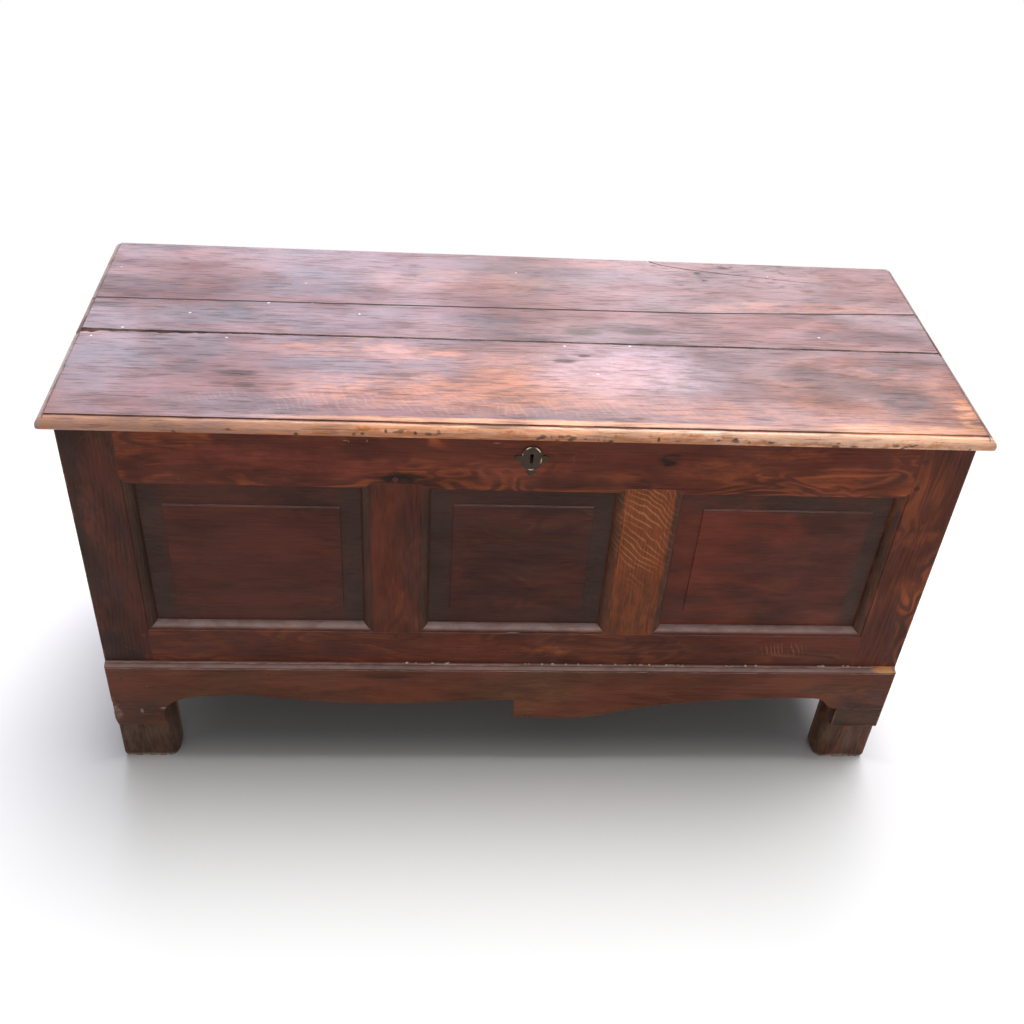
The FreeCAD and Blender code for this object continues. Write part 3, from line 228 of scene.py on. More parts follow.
# %% Stained wood
@effect("stained_wood", {
    "Place": "place", "Ring Width": "number", "Wander": "number", "Ring Depth": "number",
    "Light": "colour", "Dark": "colour", "Flame": "colour", "Flame Amount": "number",
    "Cloud Amount": "number", "Streak Depth": "number", "Pore Depth": "number",
}, {"Tone": "colour", "Grain": "number", "Height": "number"})
def stain_group(place, ring_width, wander, ring_depth, light, dark,
                flame, flame_amount, cloud_amount, streak_depth, pore_depth):
    rings = use(rings_group, place, ring_width, wander)["Rings"]
    fibres = use(fibre_group, place)
    contours = calc("SINE", times(lumps(place, (6, 17, 17), 2.5, 0.45, 0.9), 50))
    burl = ease(lumps(place, (4, 11, 11), 3), 0.42, 0.6)
    swirl = times(ease(contours, -0.7, 1.0), burl)
    tone = lay(times(swirl, flame_amount), light, flame)
    cloud = ease(lumps(place, (4, 11, 11), 4, 0.6, 0.5), 0.38, 0.64)
    tone = lay(times(cloud, cloud_amount), tone, dark)
    mottle = ease(lumps(place, (9, 24, 24), 4, 0.5), 0.32, 0.68, 0.96, 1.3)
    soft_grain = calc("SUBTRACT", mottle, times(rings, ring_depth))
    grain = calc("SUBTRACT", soft_grain, times(fibres["Streaks"], streak_depth))
    grain = calc("SUBTRACT", grain, times(fibres["Pores"], pore_depth))
    height = calc("MULTIPLY_ADD", fibres["Pores"], -0.8, times(grain, 0.9))
    return {"Tone": tone, "Grain": grain, "Height": height}


# %% [markdown]
# ## Ripple
# Some cuts run along the rays of the tree, and there the surface carries pale wavy lines across the grain. They
# are narrow bands along a slanted direction, pushed about by soft lumps and broken where the lumps are low.

# %% Ripple
@effect("ripple", {"Place": "place", "Spacing": "number", "Slant": "number"}, {"Ripple": "number"})
def ripple_group(place, spacing, slant):
    along, across, through = axes(place)
    distance = calc("MULTIPLY_ADD", calc("ADD", across, through), slant, along)
    push = times(lumps(place, (11, 15, 15), 2, 0.5), 5.5)
    wave = calc("SINE", times(calc("ADD", calc("DIVIDE", distance, spacing), push), math.tau))
    breaks = ease(lumps(place, (45, 30, 30), 2), 0.34, 0.5)
    return {"Ripple": times(ease(wave, 0.35, 1.0), breaks)}


# %% [markdown]
# ## Marks with a place
# Rings left by cups, dark smoke and the pale place where hands rest all lie somewhere on the board. Each is an
# oval with a soft rim. The place it is measured from is first pushed about by lumps, so no rim is a true oval.

# %% Ragged outlines and soft spots
@effect("ragged_outline", {"Place": "place", "Amount": "number"}, {"Place": "place"})
def ragged_group(place, amount):
    push = astray(place, (26, 38, 38), amount, 4, 0.65)
    return {"Place": shift("ADD", place, push)}


@effect("soft_spot", {"Place": "place", "Centre": "place", "Reach": "place"}, {"Spot": "number"})
def spot_group(place, centre, reach):
    offset = shift("SUBTRACT", place, centre)
    return {"Spot": ease(length(shift("DIVIDE", offset, reach)), 0.45, 1.15, 1.0, 0.0)}


def spot_at(place, centre, reach):
    """How much each place belongs to the oval spot that reaches so far from its centre."""
    return use(spot_group, place, centre, reach)["Spot"]


# %% [markdown]
# ## Edge wear
# Knocks and dusting take the stain off the corners first. On a board, a point's distance to each pair of faces
# is easy to work out, and on the surface the smallest is nothing. The middle one of the three is then the
# distance to the nearest edge. Lumps vary the width, so the wear comes and goes.

# %% Edge wear
@effect("edge_wear", {"Place": "place", "Low": "place", "High": "place", "Reach": "number"}, {"Wear": "number"})
def wear_group(place, low, high, reach):
    from_low = shift("SUBTRACT", place, low)
    from_high = shift("SUBTRACT", high, place)
    first, second, third = axes(shift("MINIMUM", from_low, from_high))
    small, large = calc("MINIMUM", first, second), calc("MAXIMUM", first, second)
    inset = calc("MAXIMUM", small, calc("MINIMUM", large, third))
    luck = ease(lumps(place, (30, 30, 30), 4, 0.7), 0.38, 0.72)
    reach = calc("MAXIMUM", times(luck, reach), 0.00005)
    return {"Wear": ease(calc("DIVIDE", inset, reach), 0.3, 1.0, 1.0, 0.0)}


# %% [markdown]
# ## Settled dust and painted sheen
# Dust and old wax settle on whatever faces up: the lower mouldings, the ledge of the apron, the top arris of
# each raised panel. The same pale film also paints in the sheen that these upward faces catch, so it is partly
# painted highlight. The direction a surface faces, taken on the piece itself, says how much lies there, so the
# film stays with the piece when it moves.

# %% Settled dust and painted sheen
@effect("settled_dust_and_sheen", {"Place": "place", "Facing": "place"}, {"Dust And Sheen": "number"})
def dust_and_sheen_group(place, facing):
    facing_up = axes(facing)["Z"]
    patchy = ease(lumps(place, (30, 60, 60), 3, 0.6), 0.3, 0.65, 0.6, 1.0)
    return {"Dust And Sheen": times(ease(facing_up, 0.05, 0.6), patchy)}


# %% [markdown]
# ## Specks and hair lines
# Age leaves pale specks of dust and old filler, and hair-thin scratches. The specks are the middles of a few
# scattered cells. The scratches are the level lines of soft drawn-out lumps, kept only here and there.

# %% Specks and hair lines
@effect("specks", {"Place": "place", "Per Metre": "number", "Share": "number"}, {"Specks": "number"})
def speck_group(place, per_metre, share):
    cells = put("TexVoronoi", {"Vector": place, "Scale": per_metre}).outputs
    chosen = calc("LESS_THAN", put("SeparateColor", {0: cells["Color"]}).outputs[0], share)
    return {"Specks": times(ease(cells["Distance"], 0.04, 0.11, 1.0, 0.0), chosen)}


@effect("hair_lines", {"Place": "place"}, {"Lines": "number"})
def hair_group(place):
    level = lumps(place, (7, 26, 26), 0, 0.5, 1.5)
    off_level = calc("ABSOLUTE", calc("SUBTRACT", level, 0.5))
    kept = ease(lumps(place, (6, 9, 9), 1), 0.55, 0.62)
    return {"Lines": times(ease(off_level, 0.003, 0.009, 1.0, 0.0), kept)}


# %% [markdown]
# ## Light
# The room is a pale studio. One very broad soft light hangs overhead, a little behind the chest, so that the
# chest throws its soft shadow forward. Two wide windows behind lie where the lid mirrors them and give the
# polish its bloom, cool on the left and warmer on the right. A low one in front lights the front and leaves
# the floor its shadow. Together they light a white card to about white, so each colour comes out as written.

# %% Sky and lamps
def seen_itself():
    """One where the eye, a mirror or a glass sees a surface itself, nothing where it only lights others."""
    path = put("LightPath", {}).outputs
    mirrored = calc("MAXIMUM", path["Is Camera Ray"], path["Is Glossy Ray"])
    return calc("MAXIMUM", mirrored, path["Is Transmission Ray"])


scene.view_settings.view_transform = "Standard"
scene.world = bpy.data.worlds.new("studio")
scene.world.use_nodes = True
work_on(scene.world.node_tree)
SKY_LOW, SKY_HIGH = 0.01, 0.38
sky_light = ease(axes(put("TexCoord", {}).outputs["Generated"])["Z"], 0.35, 0.95, SKY_LOW, SKY_HIGH)
plug(bench.nodes["Background"], {"Strength": calc("MAXIMUM", seen_itself(), sky_light), "Color": (1, 1, 1)})


def hang(lamp, place, look_at, tint):
    """Hangs a lamp at a place and turns it to a point."""
    lamp.color = tint
    holder = add_object(lamp.name, lamp)
    holder.location = place
    holder.rotation_euler = (Vector(look_at) - Vector(place)).to_track_quat("-Z", "Y").to_euler()


def window(name, place, look_at, size, glow, tint):
    """A rectangular soft lamp. Its glow is how bright its face is, where a white card is 1."""
    lamp = bpy.data.lights.new(name, "AREA")
    lamp.shape = "RECTANGLE"
    lamp.size, lamp.size_y = size
    lamp.energy = glow * size[0] * size[1] * math.pi
    hang(lamp, place, look_at, tint)


LID_MIDDLE = (0, 0, 0.69)
OVERHEAD_LIGHT = 0.8
overhead = bpy.data.lights.new("overhead", "SUN")
overhead.energy = OVERHEAD_LIGHT * math.pi
overhead.angle = math.radians(36)
hang(overhead, (0.65, 0.85, 4), (0, 0, 0), (1.0, 0.99, 0.98))
window("back_window_left", (-0.75, 2.6, 2.35), LID_MIDDLE, (1.8, 1.3), 4.0, (0.74, 0.74, 1.0))
window("back_window_right", (1.15, 2.6, 2.35), LID_MIDDLE, (1.8, 1.3), 3.8, (0.9, 0.78, 0.94))
window("front_window", (0.3, -3.4, 1.15), (0, 0, 0.4), (3.0, 1.1), 2.1, (1.0, 0.98, 0.96))
print("sky", SKY_HIGH, "overhead", OVERHEAD_LIGHT, "and three windows")

# %% [markdown]
# ## Floor
# The floor is one large pale sheet. It keeps the chest's shadow, and its own colour makes the background white.
# Close to the chest it is lit as anything else is, and right under it the sheet is painted grey, a painted
# shadow that deepens the shadow cast there. Further out, what the camera and the polish see of it goes over to
# plain white, as a sheet of paper that curves up behind would.

# %% Floor
def new_finish(name):
    """A new material, its tree on the bench, and its shader."""
    material = bpy.data.materials.new(name)
    material.use_nodes = True
    work_on(material.node_tree)
    return material, bench.nodes["Principled BSDF"]


def dress(mesh, material):
    """Gives a mesh one finish all over."""
    mesh.materials.clear()
    mesh.materials.append(material)


floor_mesh = bpy.data.meshes.new("floor")
FLOOR_REACH = 14
corners = [(x * FLOOR_REACH, y * FLOOR_REACH, 0) for x, y in ((-1, -1), (1, -1), (1, 1), (-1, 1))]
floor_mesh.from_pydata(corners, [], [(0, 1, 2, 3)])
add_object("floor", floor_mesh)

floor_paint, floor_shader = new_finish("floor_paint")
seen = seen_itself()
NO_LIGHT, FLOOR_UNSEEN, FLOOR_SEEN = (0, 0, 0), (0.5, 0.5, 0.5), (1, 1, 1)
# Right under the chest the sheet takes a greyer colour, a painted shadow.
FLOOR_NEAR, FLOOR_PAINTED_SHADOW = (0.98, 0.99, 1.0), (0.46, 0.49, 0.51)
floor_place = put("TexCoord", {}).outputs["Object"]
far = times(ease(length(shift("DIVIDE", floor_place, (1.25, 1.0, 1))), 0.62, 1.5), seen)
foot_print = axes(shift("ABSOLUTE", shift("DIVIDE", floor_place, (0.63, 0.23, 1))))
# The painted shadow is full inside the chest's footprint and fades out just beyond it.
painted_shadow_under_chest = ease(calc("MAXIMUM", foot_print["X"], foot_print["Y"]), 0.75, 1.15, 1.0, 0.0)
near_colour = lay(seen, FLOOR_UNSEEN, lay(painted_shadow_under_chest, FLOOR_NEAR, FLOOR_PAINTED_SHADOW))
plug(floor_shader, {
    "Roughness": 1, "Specular IOR Level": 0, "Emission Strength": 1,
    "Base Color": lay(far, near_colour, NO_LIGHT), "Emission Color": lay(far, NO_LIGHT, FLOOR_SEEN),
})
dress(floor_mesh, floor_paint)
print("floor", 2 * FLOOR_REACH, "m across")

# %% [markdown]
# ## Worked edges
# A plane and a century of dusting leave no edge sharp. A bevel of under a millimetre catches the light along
# every arris. The solids come as many thin triangles, so first the points are joined and the flat faces made
# whole, and a last step weighs the normals so that the flats stay flat beside their rounded edges.

# %% Soften the edges
def soften(node, width):
    """Rounds the edges of one solid without changing its mesh."""
    piece = NODES[node]
    piece.modifiers.new("join_points", "WELD").merge_threshold = 1e-5
    flats = piece.modifiers.new("whole_faces", "DECIMATE")
    flats.decimate_type = "DISSOLVE"
    flats.angle_limit = math.radians(0.5)
    rounding = piece.modifiers.new("soft_edges", "BEVEL")
    rounding.width = width
    rounding.segments = 2
    rounding.limit_method = "ANGLE"
    rounding.angle_limit = math.radians(35)


def settle(node):
    """Weighs the normals once every other step of a piece is in place."""
    NODES[node].modifiers.new("flat_normals", "WEIGHTED_NORMAL").weight = 60


# %% [markdown]
# ## A board's finish
# Every board is stained in the same order: the wood with its own heart and its own direction, the marks that
# lie on it, the grain over them, bare wood along the edges, and the raw inner face that never saw stain. The
# place of the heart is what makes one board flamed and the next one straight, so no two are alike.

# %% Stain a board
TURNS = {"X": (0, 0, 0), "Y": (0, 0, -90), "Z": (0, 90, 0)}
NARROW, ENDLESS = 0.008, 3.0
WOOD_PARTS = ("ring_width", "wander", "ring_depth", "light", "dark", "flame", "flame_amount", "cloud",
              "streaks", "pores")
SKIN_EDGE = 0.0005
DUST_AND_SHEEN_ENDS = (0.655, 0.665)
SPECKS_PER_METRE = 45.0
BUMP_HEIGHT = 0.0004

RAW_WOOD = (0.21, 0.125, 0.07)
NEAR_BLACK = (0.03, 0.017, 0.013)
OLIVE = (0.15, 0.115, 0.095)
CUP_BLACK = (0.045, 0.027, 0.024)
MATT_TINTS = (NEAR_BLACK, OLIVE, CUP_BLACK)


def lay_marks(tone, marks, places, patchy):
    """Lays marks over a tone. Gives the new tone and how far the matt ones cover it."""
    matt = 0.0
    for centre, reach, tint, strength in marks:
        straight = min(reach) < NARROW or ENDLESS in reach
        low, high = strength * (0.8 if straight else 0.35), min(1, strength * (1.1 if straight else 1.25))
        cover = times(spot_at(places[straight], centre, reach), ease(patchy, 0.4, 0.6, low, high))
        tone = lay(cover, tone, tint)
        if tint in MATT_TINTS:
            matt = calc("MAXIMUM", matt, cover)
    return tone, matt


def stain(node, grain, heart, look, marks=(), fresh=(), skins=(), ripple=None, sheen=(), **changes):
    """Stains one board. heart is a point on the trunk's axis, in metres, and grain is the axis it runs along.
    The fresh marks are newer than the dust and painted sheen, and lie over it."""
    look = {**look, **changes}
    material, shader = new_finish(node + "_finish")
    where = put("TexCoord", {}).outputs
    place = where["Object"]
    turn = Euler([math.radians(angle) for angle in TURNS[grain]])
    start = -(turn.to_matrix() @ Vector(heart))
    trunk = put("Mapping", {"Vector": place, "Rotation": turn, "Location": start}).outputs[0]
    wood = use(stain_group, trunk, *(look[part] for part in WOOD_PARTS))
    broad, narrow = (use(ragged_group, place, look["ragged"] * share)["Place"] for share in (1, 0.12))
    patchy = lumps(trunk, (26, 90, 90), 4, 0.7)
    outlines = {True: narrow, False: broad}
    tone, matt = lay_marks(wood["Tone"], marks, outlines, patchy)
    if ripple:
        lines = use(ripple_group, trunk, ripple["spacing"], ripple["slant"])["Ripple"]
        figure = times(lines, spot_at(broad, ripple["centre"], ripple["reach"]))
        tone = lay(times(figure, ripple["strength"]), tone, ripple["tint"])
    worn = times(use(wear_group, place, *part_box(node), look["wear_reach"])["Wear"], look["wear"])
    tone = lay(worn, tone, look["bare"])
    scratches = use(hair_group, trunk)["Lines"]
    tone = lay(times(scratches, look["scratches"]), tone, look["bare"])
    for *planes, tint, strength in skins:
        skin = strength
        for facing, limit in planes:
            depth = put("VectorMath", {0: place, 1: facing}, operation="DOT_PRODUCT").outputs["Value"]
            skin = times(skin, ease(depth, limit - SKIN_EDGE, limit + SKIN_EDGE))
        tone = lay(skin, tone, tint)
        if tint in MATT_TINTS:
            matt = calc("MAXIMUM", matt, skin)
    tone = lay(1.0, tone, wood["Grain"], "MULTIPLY")
    # Dust settles on what faces up, and the same pale film paints in the sheen those faces catch: partly
    # painted highlight.
    dust = use(dust_and_sheen_group, place, where["Normal"])["Dust And Sheen"]
    dust = times(dust, ease(axes(place)["Z"], *DUST_AND_SHEEN_ENDS, look["dusty"], 0.0))
    tone = lay(dust, tone, look["dust"])
    specks = use(speck_group, place, SPECKS_PER_METRE, look["specks"])["Specks"]
    tone = lay(specks, tone, look["speck"])
    tone, _ = lay_marks(tone, fresh, outlines, patchy)
    uneven = lumps(place, (14, 30, 30), 3)
    dull = calc("MULTIPLY_ADD", wood["Grain"], -0.16, look["roughness"] + 0.13)
    dull = calc("MULTIPLY_ADD", uneven, 0.22, calc("SUBTRACT", dull, 0.11))
    height = calc("MULTIPLY_ADD", uneven, look["dents"], wood["Height"])
    height = calc("MULTIPLY_ADD", scratches, -0.6, calc("MULTIPLY_ADD", worn, -0.8, height))
    bump = put("Bump", {"Height": height, "Distance": BUMP_HEIGHT, "Strength": look["relief"]})
    thin, thick = look["polish"] * 0.6, look["polish"]
    polish = ease(lumps(place, (3, 7, 7), 4, 0.6, 0.6), 0.34, 0.62, thin, thick)
    for centre, reach, strength in sheen:
        polish = calc("MULTIPLY_ADD", spot_at(broad, centre, reach), strength, polish)
    polish = times(polish, calc("SUBTRACT", 1.0, matt))
    polish = times(polish, ease(wood["Grain"], 0.55, 1.2, 0.42, 1.08))
    polish = calc("MINIMUM", calc("MULTIPLY_ADD", dust, 0.5, polish), 1.0)
    plug(shader, {
        "Base Color": tone, "Roughness": calc("MULTIPLY_ADD", worn, 0.15, dull), "Normal": bump.outputs[0],
        "Specular IOR Level": look["specular"], "Coat Roughness": look["coat_roughness"],
        "Coat Weight": calc("MAXIMUM", polish, 0.0),
    })
    dress(NODES[node].data, material)


# %% [markdown]
# ## The front frame
# The front is old hardwood under a dark red-brown stain that has gone nearly black in the corners. The left
# post keeps the most stain. To the right the swirled grain shines orange through it, most of all in the top
# rail and the right post. The rails run left to right and the posts and muntins upright, so the two directions
# meet at every joint and the tone changes there.

# %% Front frame
# The pale mauve dust colour below goes on upward faces, partly as dust and partly as painted sheen.
CASE = {
    "light": (0.15, 0.034, 0.018), "dark": (0.052, 0.02, 0.015), "flame": (0.36, 0.1, 0.028),
    "flame_amount": 0.35, "cloud": 0.75, "streaks": 0.22, "pores": 0.14, "ring_width": 0.0042,
    "ring_depth": 0.2, "wander": 0.05, "ragged": 0.045, "bare": (0.34, 0.17, 0.1), "wear": 0.55,
    "wear_reach": 0.004, "scratches": 0.12, "specks": 0.006, "speck": (0.42, 0.36, 0.31),
    "dust": (0.44, 0.295, 0.275), "dusty": 0.55, "roughness": 0.5, "dents": 1.6, "relief": 0.5,
    "specular": 0.12, "polish": 0.1, "coat_roughness": 0.34,
}
FRONT = -0.235
FRONT_PLANE = (((0, 1, 0), -0.208),)
FRONT_INNER = (*FRONT_PLANE, RAW_WOOD, 1.0)
# Orange shows where swirled grain shines through the stain. The same colour also paints a thin highlight down
# one arris of the right muntin.
ORANGE_AND_ARRIS_HIGHLIGHT = (0.44, 0.125, 0.035)
RED_FLAME = (0.36, 0.085, 0.032)
# Painted shade: dark brown bands beside the side mouldings of the openings, and a line along the apron's ledge.
# It also makes the lower part of the right muntin darker.
SHADE_BROWN = (0.06, 0.033, 0.022)
PALE_BITS = (0.5, 0.4, 0.34)
FOOT_GREY = (0.15, 0.088, 0.06)
FOOT_CHIPS = (0.42, 0.33, 0.27)


def fore(x, z, wide, tall, tint, strength, face=FRONT):
    """A mark on the front, at x metres from the middle and z above the floor."""
    return ((x, face, z), (wide, 0.02, tall), tint, strength)


def fores(tint, *marks):
    """Several marks of one tint on the front."""
    return [fore(*place, tint, strength) for *place, strength in marks]


def upright_band(x, wide, tint, strength):
    """A straight band all the way up the front."""
    return ((x, FRONT, 0.4), (wide, 0.03, ENDLESS), tint, strength)


def low_foot(x, strength):
    """The grey foot under the apron and the chipped rim that it stands on."""
    return [
        ((x, FRONT, 0.03), (0.1, 0.1, 0.075), FOOT_GREY, strength),
        ((x, FRONT, 0.0), (0.07, 0.03, 0.0075), FOOT_CHIPS, 0.85),
    ]


# Each post and muntin carries a brown band of painted shade beside the side moulding of its opening.
stain("front_post_left", "Z", (-0.66, -0.3, 1.7), CASE, flame_amount=0.12, cloud=0.9,
      skins=[(*FRONT_PLANE, ((1, 0, 0), -0.615), RAW_WOOD, 1.0)],
      light=(0.1, 0.028, 0.018), dark=(0.042, 0.021, 0.016), marks=[
          upright_band(-0.549, 0.0085, SHADE_BROWN, 0.75), *low_foot(-0.59, 1.0),
          fore(-0.603, 0.508, 0.02, 0.1, (0.16, 0.045, 0.025), 0.5),
      ])
stain("front_post_right", "Z", (0.56, -0.285, 0.3), CASE, flame_amount=0.62, cloud=0.5,
      skins=[(*FRONT_PLANE, ((-1, 0, 0), -0.615), RAW_WOOD, 1.0)],
      light=(0.135, 0.034, 0.017), flame=(0.6, 0.15, 0.045), marks=[
          upright_band(0.549, 0.0085, SHADE_BROWN, 0.75), *low_foot(0.59, 0.95),
          *fores(RED_FLAME, (0.602, 0.497, 0.034, 0.018, 0.4), (0.6, 0.405, 0.03, 0.02, 0.35)),
      ])
stain("front_top_rail", "X", (-1.4, -0.275, 0.6), CASE, skins=[FRONT_INNER], flame_amount=0.78, cloud=0.55,
      flame=(0.6, 0.145, 0.045), marks=[
          fore(-0.05, 0.615, 0.16, 0.03, (0.21, 0.05, 0.028), 0.6),
          fore(-0.43, 0.615, 0.3, 0.06, (0.12, 0.031, 0.021), 1.0),
          fore(-0.505, 0.605, 0.08, 0.035, (0.13, 0.034, 0.022), 0.9),
          fore(-0.432, 0.625, 0.13, 0.022, (0.22, 0.05, 0.029), 0.8),
          fore(-0.272, 0.613, 0.12, 0.022, (0.21, 0.047, 0.028), 0.8),
          fore(-0.169, 0.593, 0.05, 0.012, NEAR_BLACK, 0.8),
          *fores(RED_FLAME, (0.271, 0.615, 0.09, 0.024, 0.45), (0.382, 0.647, 0.08, 0.012, 0.4),
                 (0.449, 0.605, 0.06, 0.024, 0.45)),
          fore(0.2, 0.634, 0.02, 0.012, NEAR_BLACK, 0.8),
          *fores(PALE_BITS, (-0.25, 0.654, 0.004, 0.0007, 0.7), (-0.246, 0.6525, 0.0009, 0.0018, 0.7),
                 (-0.22, 0.6545, 0.0009, 0.0024, 0.7), (-0.044, 0.656, 0.006, 0.0007, 0.7)),
      ])
stain("front_bottom_rail", "X", (0.7, -0.27, 0.225), CASE, skins=[FRONT_INNER], flame_amount=0.55, cloud=0.6,
      dusty=0.95, marks=[
          fore(-0.38, 0.262, 0.28, 0.035, (0.1, 0.031, 0.021), 0.8),
          fore(0.02, 0.262, 0.18, 0.02, (0.22, 0.06, 0.033), 0.6),
          fore(0.053, 0.257, 0.04, 0.01, ORANGE_AND_ARRIS_HIGHLIGHT, 0.6),
          fore(0.0, 0.2935, 0.012, 0.0012, PALE_BITS, 0.8),
      ], ripple={"spacing": 0.008, "slant": 0.35, "centre": (0.435, FRONT, 0.265), "reach": (0.045, 0.05, 0.02),
                 "strength": 0.5, "tint": (0.42, 0.17, 0.07)})
stain("front_muntin_left", "Z", (-0.19, -0.3, 2.4), CASE, skins=[FRONT_INNER], flame_amount=0.3,
      light=(0.16, 0.038, 0.02), marks=[
          upright_band(-0.2255, 0.0085, SHADE_BROWN, 0.75), upright_band(-0.1385, 0.0085, SHADE_BROWN, 0.75),
      ])
# A thin orange line down the arris beside the quirk is a painted highlight, and a brown mark makes the lower
# part darker.
stain("front_muntin_right", "Z", (0.28, -0.32, 0.9), CASE, skins=[FRONT_INNER], flame_amount=0.3, cloud=0.3,
      light=(0.34, 0.088, 0.03), marks=[
          upright_band(0.1385, 0.0085, SHADE_BROWN, 0.8), upright_band(0.2255, 0.0085, SHADE_BROWN, 0.8),
          upright_band(0.1478, 0.0012, ORANGE_AND_ARRIS_HIGHLIGHT, 0.6), fore(0.182, 0.33, 0.07, 0.1, SHADE_BROWN, 0.5),
      ],
      ripple={"spacing": 0.0125, "slant": -0.9, "centre": (0.182, FRONT, 0.51), "reach": (0.045, 0.05, 0.12),
              "strength": 0.6, "tint": (0.58, 0.25, 0.11)})
print("front frame stained")

# %% [markdown]
# ## The front panels
# Each panel is one wide board, thinned to a bevel all round so that its edge fits the groove. The bevels sit
# back in the frame's opening and are painted greyer and darker than the raised field in the middle, partly dirt
# and old polish and partly painted shade of the recess. The bevels lie a little behind the field, so how far
# back a point is tells the one from the other. Across the top of the right panel a band of painted shadow lies
# under the top rail.

# %% Front panels
PANEL = {**CASE, "light": (0.11, 0.029, 0.019), "dark": (0.058, 0.022, 0.017), "flame_amount": 0.14,
         "ring_width": 0.006, "ring_depth": 0.1, "streaks": 0.16, "wear": 0.0, "scratches": 0.1, "polish": 0.08,
         "dusty": 0.7}
# The darker grey-brown of the recessed bevels and of the panel tops: dirt and old polish, and painted shade.
DIRT_AND_SHADE = (0.05, 0.029, 0.022)
BEHIND_FIELD = ((0, 1, 0), -0.2292)
FRONT_BEVEL = (BEHIND_FIELD, DIRT_AND_SHADE, 0.3)
PANEL_INNER = (((0, 1, 0), -0.217), RAW_WOOD, 1.0)


def side_bevel(edge, inward):
    """Dirt and painted shade down one side bevel of a front panel, from the panel's own edge inward."""
    return upright_band(edge + inward * 0.016, 0.028, DIRT_AND_SHADE, 0.75)


stain("front_panel_left", "X", (3.0, -0.33, 0.39), PANEL, skins=[FRONT_BEVEL, PANEL_INNER],
      marks=[side_bevel(-0.551, 1), side_bevel(-0.224, -1)])
stain("front_panel_centre", "X", (4.2, -0.4, 0.33), PANEL, skins=[FRONT_BEVEL, PANEL_INNER],
      light=(0.088, 0.025, 0.017), dark=(0.05, 0.02, 0.016),
      marks=[side_bevel(-0.14, 1), side_bevel(0.14, -1)])
stain("front_panel_right", "X", (5.1, -0.31, 0.41), PANEL, skins=[(BEHIND_FIELD, DIRT_AND_SHADE, 0.18), PANEL_INNER],
      light=(0.18, 0.04, 0.023), marks=[
          # A band of painted shadow across the top of the panel under the top rail, and a thin darker line
          # below it.
          side_bevel(0.551, -1), ((0.36, -0.2303, 0.515), (0.05, 0.02, 0.006), DIRT_AND_SHADE, 0.5),
          ((0.385, -0.2265, 0.558), (0.3, 0.02, 0.022), DIRT_AND_SHADE, 0.7),
      ])
print("front panels stained")

# %% [markdown]
# ## The ends and the back
# The ends are framed as the front is. The back stood against a wall. It was never stained, and has only gone
# brown and dusty with age, as have the boards of the bottom and the battens under the lid.

# %% Ends and back
PLAIN = {**CASE, "light": (0.215, 0.125, 0.068), "dark": (0.11, 0.068, 0.042),
         "flame": (0.3, 0.18, 0.09), "flame_amount": 0.25, "cloud": 0.7, "ring_width": 0.005,
         "ring_depth": 0.35, "wear": 0.35, "bare": (0.36, 0.25, 0.15), "roughness": 0.8,
         "specular": 0.08, "polish": 0.0, "relief": 0.8, "scratches": 0.15, "dust": (0.235, 0.165, 0.115),
         "dusty": 0.4}
for side, sign in (("left", -1), ("right", 1)):
    inner = (((-sign, 0, 0), -0.605), RAW_WOOD, 1.0)
    # The end panels' bevels get the same dirt and painted shade.
    end_bevel = (((-sign, 0, 0), -0.6267), DIRT_AND_SHADE, 0.7)
    end_inner = (((-sign, 0, 0), -0.6142), RAW_WOOD, 1.0)
    stain(f"{side}_top_rail", "Y", (sign * 0.67, 1.1, 0.6), CASE, skins=[inner])
    stain(f"{side}_bottom_rail", "Y", (sign * 0.7, 2.3, 0.26), CASE, skins=[inner], dusty=0.8)
    stain(f"{side}_muntin", "Z", (sign * 0.68, 0.03, 3.1), CASE, skins=[inner])
    stain(f"{side}_panel_front", "Z", (sign * 0.7, -0.12, 1.3), PANEL, skins=[end_bevel, end_inner])
    stain(f"{side}_panel_back", "Z", (sign * 0.72, 0.1, 2.2), PANEL, skins=[end_bevel, end_inner])
    stain(f"back_post_{side}", "Z", (sign * 0.65, 0.29, 4.0), CASE,
          light=(0.115, 0.042, 0.024), dark=(0.05, 0.025, 0.018),
          skins=[(((0, -1, 0), -0.208), ((-sign, 0, 0), -0.615), RAW_WOOD, 1.0)])
    stain(f"back_muntin_{side}", "Z", (sign * 0.16, 0.3, 1.9), PLAIN)
    stain(f"back_panel_{side}", "X", (2.0 * sign, 0.31, 0.42), PLAIN)
    stain(f"lid_batten_{side}", "Y", (sign * 0.52, 2.0, 0.6), PLAIN)
stain("back_panel_centre", "X", (3.3, 0.3, 0.47), PLAIN)
stain("back_top_rail", "X", (1.4, 0.29, 0.63), PLAIN)
stain("back_bottom_rail", "X", (2.2, 0.3, 0.23), PLAIN)
for board in range(1, 6):
    stain(f"floor_board_{board}", "Y", (-0.6 + 0.24 * board, 0.9 * board, 0.13), PLAIN)
print("ends, back, bottom and battens done")

# %% [markdown]
# ## The apron
# The apron is one thin board across the feet, browner and greener than the frame above it, with a second
# small board below it on the right foot. Its ledge has caught crumbs of old filler, and the ledge's right end
# has split away and shows pale orange wood.

# %% Apron
APRON = {**CASE, "light": (0.185, 0.052, 0.027), "dark": (0.085, 0.038, 0.022),
         "flame": (0.24, 0.1, 0.04), "flame_amount": 0.3, "cloud": 0.65, "wear": 0.6, "specks": 0.015,
         "dusty": 0.75, "bare": (0.3, 0.16, 0.1)}
APRON_FACE = -0.245
SPLIT_WOOD = (0.8, 0.36, 0.13)
